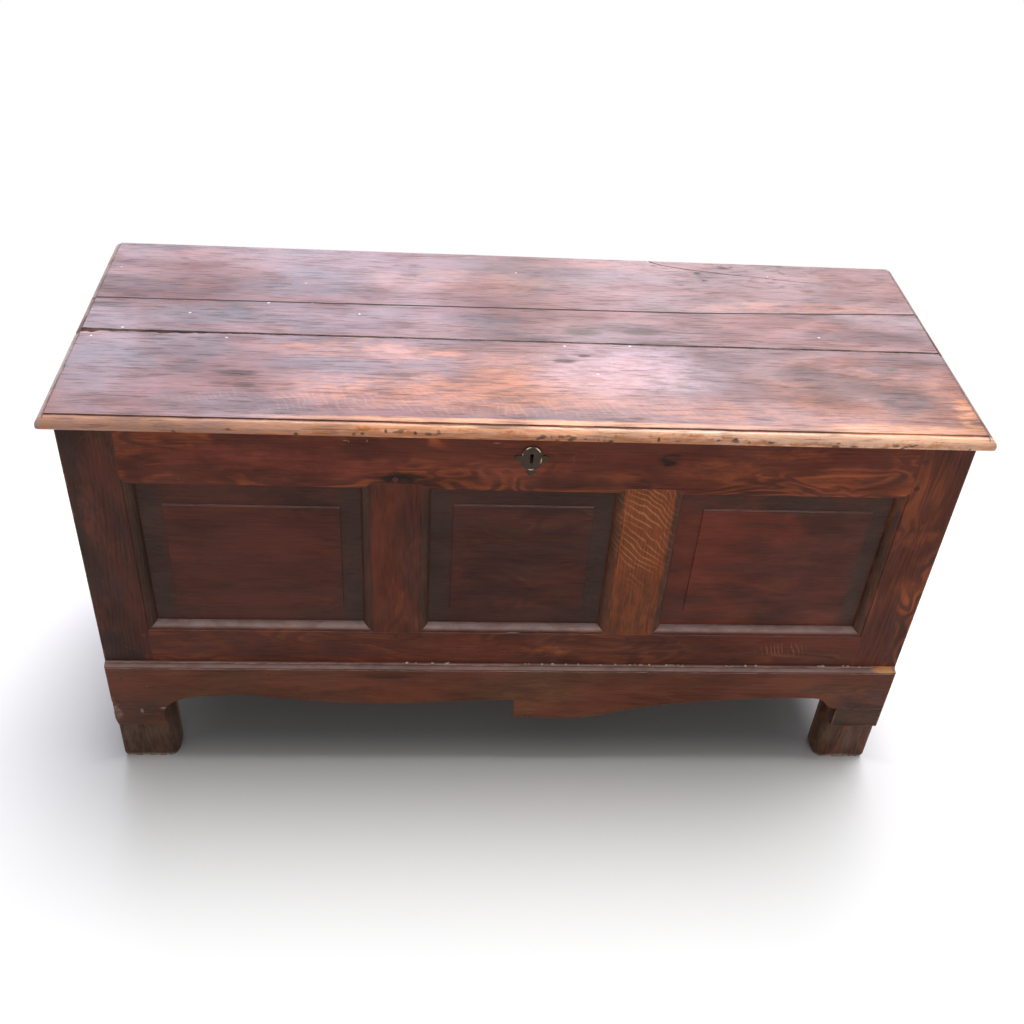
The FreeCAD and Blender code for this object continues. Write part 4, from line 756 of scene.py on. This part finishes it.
# Pale lines along the ledge's arrises: partly dust and partly painted highlight.
LEDGE_DUST_AND_HIGHLIGHT = (0.66, 0.47, 0.43)
stain("front_apron", "X", (-2.1, -0.31, 0.16), APRON, marks=[
    fore(0.034, 0.165, 0.1, 0.05, (0.22, 0.095, 0.045), 0.45, APRON_FACE),
    fore(0.6, 0.14, 0.07, 0.05, (0.07, 0.03, 0.022), 0.9, APRON_FACE),
    fore(-0.59, 0.12, 0.06, 0.04, (0.08, 0.034, 0.023), 0.8, APRON_FACE),
    fore(-0.63, 0.125, 0.008, 0.03, FOOT_CHIPS, 0.5, APRON_FACE),
    fore(-0.588, 0.121, 0.003, 0.006, FOOT_CHIPS, 0.7, APRON_FACE),
    fore(-0.553, 0.128, 0.006, 0.003, FOOT_CHIPS, 0.7, APRON_FACE),
    fore(-0.2, 0.205, 0.05, 0.007, NEAR_BLACK, 0.6, APRON_FACE),
], fresh=[
    # The ledge: two pale lines along its arrises, partly dust and partly painted highlight, with a brown line
    # of painted shade between them, and the split wood at its right end.
    ((0.0, -0.238, 0.2263), (ENDLESS, 0.0014, 0.0014), LEDGE_DUST_AND_HIGHLIGHT, 0.75),
    ((0.0, -0.245, 0.2174), (ENDLESS, 0.004, 0.0011), LEDGE_DUST_AND_HIGHLIGHT, 0.6),
    ((0.0, -0.2405, 0.2215), (ENDLESS, 0.0035, 0.0018), SHADE_BROWN, 0.45),
    ((0.614, -0.242, 0.2245), (0.024, 0.02, 0.0065), SPLIT_WOOD, 1.0),
])
stain("apron_lower_facing", "X", (-0.3, -0.3, 0.07), APRON, dusty=0.3,
      light=(0.07, 0.029, 0.019), dark=(0.048, 0.026, 0.019))
print("apron stained")

# %% [markdown]
# ## The lid
# The lid has had the most polish and the most use. Its stain is worn to orange in the middle of the front
# board, where hands rest, and along the rounded nose. The nose is painted brighter than worn wood alone, partly
# a painted highlight, and darker along its lower curve, partly painted shade. A pale milky patch on the front
# board and a pale strip on the left end are partly painted sheen. Old cups, smoke and damp have left grey ovals
# and dark clouds. A deep soft polish lies over it all, thicker in some places than in others, and mirrors the
# window.

# %% Lid boards
LID = {**CASE, "light": (0.205, 0.058, 0.034), "dark": (0.074, 0.031, 0.03), "flame": (0.42, 0.13, 0.045),
       "flame_amount": 0.3, "cloud": 0.7, "ring_width": 0.0032, "streaks": 0.24, "pores": 0.3,
       "ring_depth": 0.12, "wander": 0.016, "ragged": 0.05, "bare": (0.4, 0.19, 0.11), "wear": 0.3,
       "specks": 0.03, "speck": (0.8, 0.74, 0.74), "dusty": 0.0, "roughness": 0.42, "dents": 2.4,
       "relief": 0.6, "specular": 0.26, "polish": 0.96, "coat_roughness": 0.27, "scratches": 0.2}
UNDERSIDE = (((0, 0, -1), -0.6706), RAW_WOOD, 1.0)
LID_TOP = 0.692
SMALL_MARK, SHALLOW = 0.016, 0.0075
SMOKE = (0.058, 0.029, 0.026)
TAN = (0.34, 0.13, 0.07)
FLECK = (0.66, 0.21, 0.08)
# A pale milky patch, partly bloom in the old polish and partly painted sheen.
BLOOM_AND_PAINTED_SHEEN = (0.5, 0.36, 0.44)
WORN = (0.52, 0.17, 0.055)
# The nose is worn orange wood painted brighter than bare wood, partly a painted highlight. The colour for its
# lower curve is darker, partly painted shade.
NOSE_WORN_AND_HIGHLIT = (1.0, 0.45, 0.23)
NOSE_UNDERSIDE_WORN_AND_SHADED = (0.66, 0.21, 0.05)
NOSE_LEFT = (0.38, 0.2, 0.15)
NOSE_RIGHT_WORN_AND_HIGHLIT = (1.0, 0.58, 0.38)
# A pale strip on the curved left end of the lid, a painted reflection.
LEFT_END_PAINTED_REFLECTION = (0.42, 0.28, 0.27)
PLASTER = (0.9, 0.84, 0.83)
SCAR_BROWN = (0.13, 0.045, 0.018)
EDGE_GLOW = (0.85, 0.36, 0.14)


def flat(x, y, wide, deep, tint, strength):
    """A mark on the lid's top."""
    return ((x, y, LID_TOP), (wide, deep, SHALLOW if deep < SMALL_MARK else 0.05), tint, strength)


def flats(tint, *marks):
    """Several marks of one tint on the lid's top."""
    return [flat(*place, tint, strength) for *place, strength in marks]


def glint(x, y, wide, deep, strength):
    """A place on the lid's top where the polish is thicker, or thinner if the strength is below nothing."""
    return ((x, y, LID_TOP), (wide, deep, 0.1), strength)


SEAM_LEFT, SEAM_BEND, SEAM_RIGHT = (-0.65, 0.07), (0.285, 0.078), (0.65, 0.096)


def beside_seam(start, end, side, reach):
    """A plane that keeps what is within reach of a stretch of the seam, on its near side or its far side."""
    along = (Vector(end) - Vector(start)).normalized()
    across = Vector((-along.y, along.x)) * side
    return ((across.x, across.y, 0), across.dot(Vector(start)) - reach)


NEAR_SEAM = [(beside_seam(SEAM_LEFT, SEAM_BEND, 1, 0.0016), beside_seam(SEAM_BEND, SEAM_RIGHT, 1, 0.0016),
              NEAR_BLACK, 0.9)]
FAR_SEAM = [(beside_seam(start, end, -1, 0.0026), NEAR_BLACK, 0.9)
            for start, end in ((SEAM_LEFT, SEAM_BEND), (SEAM_BEND, SEAM_RIGHT))]
JOINT_GRIME = [
    flat(0, -0.023, ENDLESS, 0.003, NEAR_BLACK, 0.9),
    ((0, -0.028, 0.677), (ENDLESS, 0.018, 0.012), NEAR_BLACK, 1.0),
    ((0.38, 0.215, 0.682), (0.25, 0.06, 0.0085), NEAR_BLACK, 0.95),
]
FLECK_PLACES = [(-0.618, -0.027), (-0.583, -0.016), (-0.494, 0.032), (-0.383, 0.069), (-0.318, 0.074),
                (-0.431, -0.037), (-0.498, 0.076), (0.061, -0.033), (0.105, -0.109), (0.161, -0.028),
                (0.461, 0.014)]
JOINT_FLECKS = [flat(x, y, 0.0026, 0.0019, PLASTER, 0.8) for x, y in FLECK_PLACES]
scar_luck = random.Random(5)
NOSE_SCARS = [
    ((scar_luck.triangular(-0.6, 0.645, 0.4), -0.25, scar_luck.uniform(0.672, 0.683)),
     (scar_luck.uniform(0.0022, 0.0075), 0.012, scar_luck.uniform(0.0014, 0.004)),
     scar_luck.choice((NEAR_BLACK, SCAR_BROWN)), 0.85)
    for _ in range(40)
]
# Dark lines at the steps of both ends, and the pale strip of painted reflection on the left end.
LID_ENDS = [
    *(((x, 0, 0.69), (0.0014, ENDLESS, 0.004), NEAR_BLACK, 0.8) for x in (-0.6396, 0.6396)),
    ((-0.647, 0, 0.683), (0.007, ENDLESS, 0.03), LEFT_END_PAINTED_REFLECTION, 0.7),
]
LID_SHEEN = [
    *(glint(*thicker) for thicker in (
        (-0.55, 0.15, 0.18, 0.14, -0.2), (-0.46, 0.04, 0.22, 0.1, -0.24), (-0.61, -0.08, 0.07, 0.16, 0.4),
        (0.05, 0.2, 0.3, 0.1, 0.12), (-0.42, -0.12, 0.16, 0.09, -0.2), (0.137, -0.11, 0.15, 0.12, 0.4),
        (0.53, -0.12, 0.23, 0.13, -0.42), (0.1, 0.02, 0.22, 0.04, 0.3), (0.45, 0.03, 0.25, 0.05, -0.28),
        (0.45, 0.17, 0.26, 0.13, -0.18),
    )),
    ((0.3, -0.2475, 0.684), (0.6, 0.008, 0.012), 0.4),
]
stain("lid_board_front", "X", (-1.0, -0.11, 0.735), LID, skins=[UNDERSIDE], sheen=LID_SHEEN, marks=[
    *flats(WORN, (-0.095, -0.165, 0.3, 0.055, 0.9), (-0.209, -0.06, 0.16, 0.03, 0.6),
           (0.05, -0.12, 0.2, 0.08, 0.7), (0.38, -0.2, 0.3, 0.04, 0.5), (0.615, -0.15, 0.04, 0.09, 0.5)),
    *flats(FLECK, (-0.325, -0.052, 0.03, 0.007, 0.7), (-0.18, -0.062, 0.03, 0.008, 0.7),
           (-0.11, -0.066, 0.03, 0.008, 0.7)),
    # A pale milky patch on the front board, partly polish bloom and partly painted sheen.
    flat(0.14, -0.1, 0.15, 0.09, BLOOM_AND_PAINTED_SHEEN, 0.45),
    flat(0.47, -0.12, 0.17, 0.09, TAN, 0.8),
    *flats(SMOKE, (0.405, -0.096, 0.07, 0.028, 0.75), (0.47, -0.133, 0.08, 0.03, 0.55),
           (0.545, -0.16, 0.05, 0.04, 0.75), (0.535, -0.075, 0.03, 0.02, 0.7)),
    *flats(CUP_BLACK, (0.06, -0.075, 0.02, 0.008, 0.8), (0.09, -0.06, 0.012, 0.005, 0.8),
           (-0.406, -0.13, 0.035, 0.009, 0.8), (-0.39, -0.16, 0.02, 0.006, 0.6),
           (-0.17, -0.125, 0.02, 0.006, 0.5)),
    *flats(SMOKE, (-0.5, -0.08, 0.1, 0.07, 0.6), (-0.6, -0.13, 0.08, 0.1, 0.4), (-0.3, -0.1, 0.1, 0.03, 0.45)),
    flat(0.0, -0.2355, 0.42, 0.0075, EDGE_GLOW, 0.9),
    # The nose: worn orange painted brighter, partly a painted highlight, and darker along its lower curve,
    # partly painted shade.
    ((0.0, -0.2475, 0.681), (ENDLESS, 0.007, 0.03), NOSE_WORN_AND_HIGHLIT, 0.9),
    ((-0.55, -0.2475, 0.681), (0.36, 0.0078, 0.03), NOSE_LEFT, 0.9),
    ((0.45, -0.2475, 0.681), (0.45, 0.0078, 0.03), NOSE_RIGHT_WORN_AND_HIGHLIT, 1.0),
    ((0.1, -0.252, 0.6768), (0.75, 0.009, 0.008), NOSE_UNDERSIDE_WORN_AND_SHADED, 0.95),
    ((-0.64, -0.248, 0.675), (0.016, 0.01, 0.006), NOSE_UNDERSIDE_WORN_AND_SHADED, 1.0),
    *NOSE_SCARS,
    ((0.0, -0.2417, 0.69), (ENDLESS, 0.0013, 0.004), NEAR_BLACK, 0.65),
    *flats(EDGE_GLOW, (0.52, -0.233, 0.16, 0.015, 0.75), (0.625, -0.2, 0.02, 0.05, 0.6)),
    ((-0.042, -0.245, 0.69), (0.05, 0.004, 0.004), NEAR_BLACK, 0.6),
    *JOINT_GRIME, *LID_ENDS,
], ripple={"spacing": 0.012, "slant": 0.5, "centre": (-0.1, -0.195, LID_TOP), "reach": (0.42, 0.035, 0.05),
           "strength": 0.15, "tint": (0.66, 0.36, 0.2)}, fresh=JOINT_FLECKS)
stain("lid_board_middle", "X", (-2.3, 0.3, 0.52), LID, skins=[UNDERSIDE, *NEAR_SEAM], sheen=LID_SHEEN, marks=[
    *flats(OLIVE, (0.091, 0.0095, 0.034, 0.013, 0.8), (0.187, 0.015, 0.038, 0.014, 0.8)),
    *flats(SMOKE, (-0.46, 0.03, 0.1, 0.035, 0.8), (-0.05, 0.045, 0.08, 0.02, 0.6)),
    flat(-0.62, 0.05, 0.03, 0.01, CUP_BLACK, 0.5),
    *JOINT_GRIME, *LID_ENDS,
], fresh=JOINT_FLECKS)
stain("lid_board_back", "X", (-3.4, 0.5, 0.45), LID, skins=[UNDERSIDE, *FAR_SEAM], sheen=LID_SHEEN, marks=[
    *flats(WORN, (0.45, 0.1, 0.2, 0.03, 0.45), (-0.1, 0.16, 0.2, 0.04, 0.3)),
    *flats(SMOKE, (0.3, 0.2, 0.1, 0.03, 0.4), (-0.33, 0.13, 0.12, 0.05, 0.7)),
    *JOINT_GRIME, *LID_ENDS,
])
print("lid stained")

# %% [markdown]
# ## Pegs
# Every joint is locked by riven pegs. They were stained with the frame, and end grain drinks more stain, so
# they show only as small dark discs.

# %% Pegs
stain("joint_pegs", "Y", (0.02, 0.4, 0.4), CASE, light=(0.125, 0.033, 0.019), dark=(0.08, 0.026, 0.018),
      flame_amount=0.0, wear=0.0, wear_reach=0.001, specks=0.0,
      skins=[(((0, 1, 0), 0.228), (0.12, 0.058, 0.034), 1.0)])
print("pegs stained")

# %% [markdown]
# ## Brass and iron
# The keyhole plate is cast brass under a century of brown tarnish, rubbed bright only along its rim and round
# its pins. The hinges, nails and lock are hand-worked iron, dark with oil and specked with rust. Both are metal
# where they are rubbed and dull where they are not, so the same masks drive colour, metal and roughness.

# %% Metals
def metal(name, dull, bright, rubbed, roughness, nodes, arcs=()):
    """Tarnished metal for some nodes. rubbed is how much of it shows bright."""
    material, shader = new_finish(name)
    place = put("TexCoord", {}).outputs["Object"]
    skin = lumps(place, (160, 160, 160), 5, 0.65)
    bared = ease(lumps(place, (55, 55, 55), 3, 0.6, 0.8), 0.78 - rubbed, 0.92 - rubbed)
    for centre, reach in arcs:
        offset = shift("DIVIDE", shift("SUBTRACT", place, PLATE_MIDDLE), PLATE_REACH)
        rim = ease(calc("ABSOLUTE", calc("SUBTRACT", length(offset), 0.93)), 0.02, 0.07, 1.0, 0.0)
        bared = calc("MAXIMUM", bared, times(rim, spot_at(place, centre, reach)))
    tone = lay(ease(skin, 0.3, 0.7, 0.0, 0.5), lay(bared, dull, bright), (0.012, 0.01, 0.008))
    roughness = calc("MULTIPLY_ADD", skin, 0.3, calc("MULTIPLY_ADD", bared, -0.2, roughness))
    bump = put("Bump", {"Height": skin, "Distance": 0.0003, "Strength": 0.6})
    plug(shader, {"Base Color": tone, "Metallic": ease(bared, 0.0, 1.0, 0.12, 1.0), "Roughness": roughness,
                  "Normal": bump.outputs[0]})
    for node in nodes:
        dress(NODES[node].data, material)


PLATE_MIDDLE = (0.0057, -0.2366, 0.6321)
PLATE_REACH = (0.0145, 0.05, 0.0205)
RUBBED_ARCS = [
    ((-0.001, -0.2366, 0.6505), (0.006, 0.01, 0.004)), ((0.0155, -0.2366, 0.6485), (0.007, 0.01, 0.007)),
    ((0.0205, -0.2366, 0.6275), (0.003, 0.01, 0.007)), ((0.0058, -0.2366, 0.6125), (0.005, 0.01, 0.003)),
    ((-0.0085, -0.2366, 0.64), (0.002, 0.01, 0.004)),
]
metal("tarnished_brass", (0.06, 0.034, 0.018), (0.8, 0.64, 0.42), -0.1, 0.6,
      ("keyhole_plate", "keyhole_plate_pins"), RUBBED_ARCS)
IRON_NODES = [name for name in NODES if not NODES[name].data.materials[0].name.endswith(("_finish", "_brass"))]
metal("old_iron", (0.065, 0.043, 0.033), (0.2, 0.17, 0.15), 0.22, 0.55, IRON_NODES)
print("iron:", ", ".join(sorted(IRON_NODES)))

# %% [markdown]
# ## Rounded arrises
# With the finishes on, the boards get their softened edges. The lid and the feet have had the most knocks, but
# only the lid gets the widest rounding. The frame and its mouldings, feet and all, get a finer one, and the
# keyhole plate the finest.

# %% Round the boards
LID_ROUNDING, FRAME_ROUNDING, PLATE_ROUNDING = 0.0012, 0.0007, 0.0004
ROUNDED = [name for name in NODES if name not in (*IRON_NODES, "keyhole_plate_pins", "joint_pegs")]
for name in ROUNDED:
    frame_or_plate = PLATE_ROUNDING if name == "keyhole_plate" else FRAME_ROUNDING
    soften(name, LID_ROUNDING if name.startswith("lid_board") else frame_or_plate)
print("edges rounded on", len(ROUNDED), "pieces")

# %% [markdown]
# ## Cuts made by age
# Where wood has split or broken away, the shape itself has changed, so paint is not enough. A hidden solid of
# the missing piece is taken away from the board. The tool hangs on the board that it cuts, and so the hole
# stays where it is when the lid opens.

# %% Cutting tools
luck = random.Random(11)
between = luck.uniform


def upright(outline, low, high):
    """A block whose outline is seen from above, between two heights."""
    shape = bmesh.new()
    rims = [[shape.verts.new((x, y, z)) for x, y in outline] for z in (low, high)]
    for rim in rims:
        shape.faces.new(rim)
    for here in range(len(outline)):
        shape.faces.new((rims[0][here - 1], rims[0][here], rims[1][here], rims[1][here - 1]))
    return shape


def add_lump(shape, place, size):
    """Adds one uneven lump to a shape."""
    ball = bmesh.ops.create_icosphere(shape, subdivisions=2, radius=1, matrix=Matrix())["verts"]
    spin = Euler([between(0, math.tau) for _ in range(3)]).to_matrix()
    for corner in ball:
        bumpy = spin @ corner.co * between(0.75, 1.1)
        corner.co = Vector(place) + Vector([part * half for part, half in zip(bumpy, size)])


def scatter(shape, count, place, size):
    """Adds lumps. Each part of their place and size is a number, or a span (low, high) to draw it from."""
    for _ in range(count):
        here, half = ([between(*part) if isinstance(part, tuple) else part for part in parts]
                      for parts in (place, size))
        add_lump(shape, here, half)


def take_away(node, name, shape):
    """Cuts a shape out of one solid and hides the tool."""
    bmesh.ops.recalc_face_normals(shape, faces=shape.faces)
    mesh = bpy.data.meshes.new(name)
    shape.to_mesh(mesh)
    shape.free()
    tool = add_object(name, mesh)
    tool.parent = NODES[node]
    tool.hide_render = True
    cut = NODES[node].modifiers.new(name, "BOOLEAN")
    cut.operation = "DIFFERENCE"
    cut.use_self = True
    cut.object = tool
    return len(mesh.polygons)


print("cutting tools ready")

# %% [markdown]
# ## The worn joints of the lid
# The lid boards have shrunk and their edges have crumbled, most of all at the left end, where a hand finds the
# gap. The missing edge is a thin block with one ragged side. Its depth is given at a few places along the
# board, in millimetres, and luck roughens what lies between.

# %% Ragged board edges
MM = 0.001


def ragged_side(edge, inward, depths, step=0.007):
    """Points along a board's edge, pushed inward by depths given as (place, millimetres)."""
    points = []
    place, last = depths[0][0], depths[-1][0]
    while place < last:
        for (start, deep), (end, next_deep) in zip(depths, depths[1:]):
            if start <= place <= end:
                share = (place - start) / (end - start)
                depth = deep + (next_deep - deep) * share
        points.append((place, edge + inward * depth * between(0.55, 1.3) * MM))
        place += step * between(0.5, 1.5)
    return points


GAP_FRONT, GAP_BACK, LID_END, CUT_TOP = -0.024, -0.022, 0.652, 0.7
front_loss = [(-LID_END, 7.5), (-0.625, 9.5), (-0.606, 3.8), (-0.56, 6.0), (-0.5, 4.6), (-0.455, 2.2),
              (-0.3, 1.6), (0.0, 1.1), (0.3, 1.6), (LID_END, 1.0)]
back_loss = [(-LID_END, 2.6), (-0.6, 1.2), (-0.5, 0.5), (0.1, 0.5), (0.5, 1.0), (LID_END, 0.6)]
MIDDLE_LINE = -0.023


def wear_joint(edge, inward, losses):
    """The outline of what a joint has lost, from the ragged side to the middle of the gap."""
    side = ragged_side(edge, inward, losses)
    return [*side, (side[-1][0], MIDDLE_LINE), (side[0][0], MIDDLE_LINE)]


lost_front, lost_back = wear_joint(GAP_FRONT, -1, front_loss), wear_joint(GAP_BACK, 1, back_loss)
take_away("lid_board_front", "joint_loss_front", upright(lost_front, 0.676, CUT_TOP))
take_away("lid_board_middle", "joint_loss_middle", upright(lost_back, 0.68, CUT_TOP))
print("lost outlines with", len(lost_front), "and", len(lost_back), "points")

# %% [markdown]
# ## The crack in the back board
# A drying crack runs in from the back edge and dies out towards the right end. It is a long thin wedge that
# follows the grain with small steps.

# %% Crack
CRACK = [(0.222, 0.254, 3.0), (0.245, 0.239, 2.8), (0.29, 0.2265, 2.6), (0.355, 0.213, 2.3),
         (0.4, 0.2075, 1.9), (0.441, 0.1995, 1.5), (0.5, 0.1915, 1.0), (0.548, 0.184, 0.3)]
near_lip = [(x, y - wide * MM * between(0.3, 0.8)) for x, y, wide in CRACK]
far_lip = [(x, y + wide * MM * between(0.3, 0.8)) for x, y, wide in CRACK]
take_away("lid_board_back", "drying_crack", upright([*near_lip, *reversed(far_lip)], 0.678, CUT_TOP))
print("crack", round((Vector(CRACK[-1][:2]) - Vector(CRACK[0][:2])).length, 3), "m long")

# %% [markdown]
# ## Nicks and dents in the nose
# Keys, boxes and knuckles have nicked the rounded front edge of the lid. The nicks are thin upright wedges and
# the dents are shallow lumps, more of them on the right, where the lid is lifted.

# %% Nose nicks
nose_damage = bmesh.new()
NOSE_FRONT = -0.2532
for _ in range(34):
    x = luck.triangular(-0.62, 0.64, 0.45)
    half, deep = between(0.0006, 0.0015), between(0.0026, 0.0052)
    low = between(0.671, 0.682)
    wedge = upright([(x - half, NOSE_FRONT), (x + half, NOSE_FRONT), (x + half / 2, NOSE_FRONT + deep)],
                    low, low + between(0.003, 0.009))
    part = bpy.data.meshes.new("nick")
    wedge.to_mesh(part)
    wedge.free()
    nose_damage.from_mesh(part)
scatter(nose_damage, 16, ((-0.62, 0.64), NOSE_FRONT - 0.0004, (0.674, 0.686)),
        ((0.003, 0.01), 0.0021, (0.002, 0.004)))
print("nose damage:", take_away("lid_board_front", "nose_damage", nose_damage), "faces")

# %% [markdown]
# ## The split ledge
# At its right end the apron's ledge has split off along the grain and left a slanting face of fresh orange
# wood. The missing splinter is drawn from the front and pushed back through the ledge.

# %% Split ledge
SPLINTER = [(0.586, 0.2275), (0.595, 0.2258), (0.604, 0.2262), (0.612, 0.2236), (0.621, 0.224), (0.628, 0.2219),
            (0.634, 0.2222), (0.634, 0.2275)]
splinter = upright([(x, -z) for x, z in SPLINTER], -0.2462, -0.2358)
bmesh.ops.rotate(splinter, verts=splinter.verts, matrix=Euler((math.radians(-90), 0, 0)).to_matrix())
take_away("front_apron", "lost_splinter", splinter)
print("splinter", round(SPLINTER[-1][0] - SPLINTER[0][0], 3), "m long")

# %% [markdown]
# ## Chipped feet and apron
# The feet stand on stone and are mopped round, so their lower rims are broken all along. The apron has lost
# small bits along its lower edge, mostly at the corner of the pendant.

# %% Chips
for node in ("front_post_left", "front_post_right"):
    low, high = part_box(node)
    chips = bmesh.new()
    scatter(chips, 13, ((low.x, high.x), low.y - 0.001, (-0.002, 0.001)),
            ((0.003, 0.009), 0.0035, (0.002, 0.005)))
    for _ in range(5):
        place = (luck.choice((low.x, high.x)), between(low.y, high.y), between(-0.002, 0.002))
        add_lump(chips, place, (0.003, between(0.003, 0.008), between(0.002, 0.006)))
    print(node, "chips:", take_away(node, node + "_chips", chips), "faces")

apron_points = [point.co for point in NODES["front_apron"].data.vertices]
pendant = min((point for point in apron_points if abs(point.x) < 0.1),
              key=lambda point: (round(point.z, 4), point.x))
chips = bmesh.new()
CHIP_DEPTH = -0.2455
scatter(chips, 6, ((pendant.x - 0.002, pendant.x + 0.03), CHIP_DEPTH, (pendant.z - 0.002, pendant.z + 0.001)),
        ((0.002, 0.004), 0.003, (0.0015, 0.003)))
scatter(chips, 4, (pendant.x - 0.001, CHIP_DEPTH, (pendant.z, pendant.z + 0.018)),
        (0.0022, 0.003, (0.002, 0.004)))
scatter(chips, 5, (-0.6335, CHIP_DEPTH, (0.1, 0.15)), (0.0025, 0.003, (0.003, 0.008)))
print("apron chips:", take_away("front_apron", "apron_chips", chips), "faces")

# %% [markdown]
# ## Flat faces
# Cuts and rounded edges pull at the shading of the flats beside them. The normals are weighed last, when every
# cut is in place, so that a planed face looks flat again.

# %% Settle the normals
for name in ROUNDED:
    settle(name)
print("normals settled")

# %% [markdown]
# ## Crumbs on the ledge
# Bits of old filler and plaster dust have gathered in the corner between the apron's ledge and the frame. Each
# is a small uneven lump, and they lie in a few drifts, as a brush left them.

# %% Crumbs
DRIFTS = [(-0.18, -0.09, 6), (-0.02, 0.03, 4), (0.05, 0.3, 24), (0.33, 0.41, 4), (0.5, 0.58, 9)]
LEDGE_TOP = 0.2265
crumb_shape = bmesh.new()
for start, end, count in DRIFTS:
    for _ in range(count):
        size = between(0.0009, 0.0022)
        place = (between(start, end), between(-0.2374, -0.2362), LEDGE_TOP + size * 0.5)
        add_lump(crumb_shape, place, (size * between(0.9, 1.8), size, size * 0.8))
crumb_mesh = bpy.data.meshes.new("ledge_crumbs")
crumb_shape.to_mesh(crumb_mesh)
crumb_shape.free()
crumbs = add_object("ledge_crumbs", crumb_mesh)

old_filler, filler_shader = new_finish("old_filler")
filler_place = put("TexCoord", {}).outputs["Object"]
shade = ease(lumps(filler_place, (180, 180, 180), 2), 0.3, 0.7)
grit = lumps(filler_place, (900, 900, 900), 2)
filler_bump = put("Bump", {"Height": grit, "Distance": 0.0002, "Strength": 0.6})
plug(filler_shader, {
    "Base Color": lay(shade, (0.46, 0.34, 0.25), (0.8, 0.72, 0.62)),
    "Roughness": ease(grit, 0.3, 0.7, 0.75, 0.95), "Normal": filler_bump.outputs[0],
})
dress(crumb_mesh, old_filler)
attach(crumbs, "case")
print("crumbs:", sum(count for _, _, count in DRIFTS))
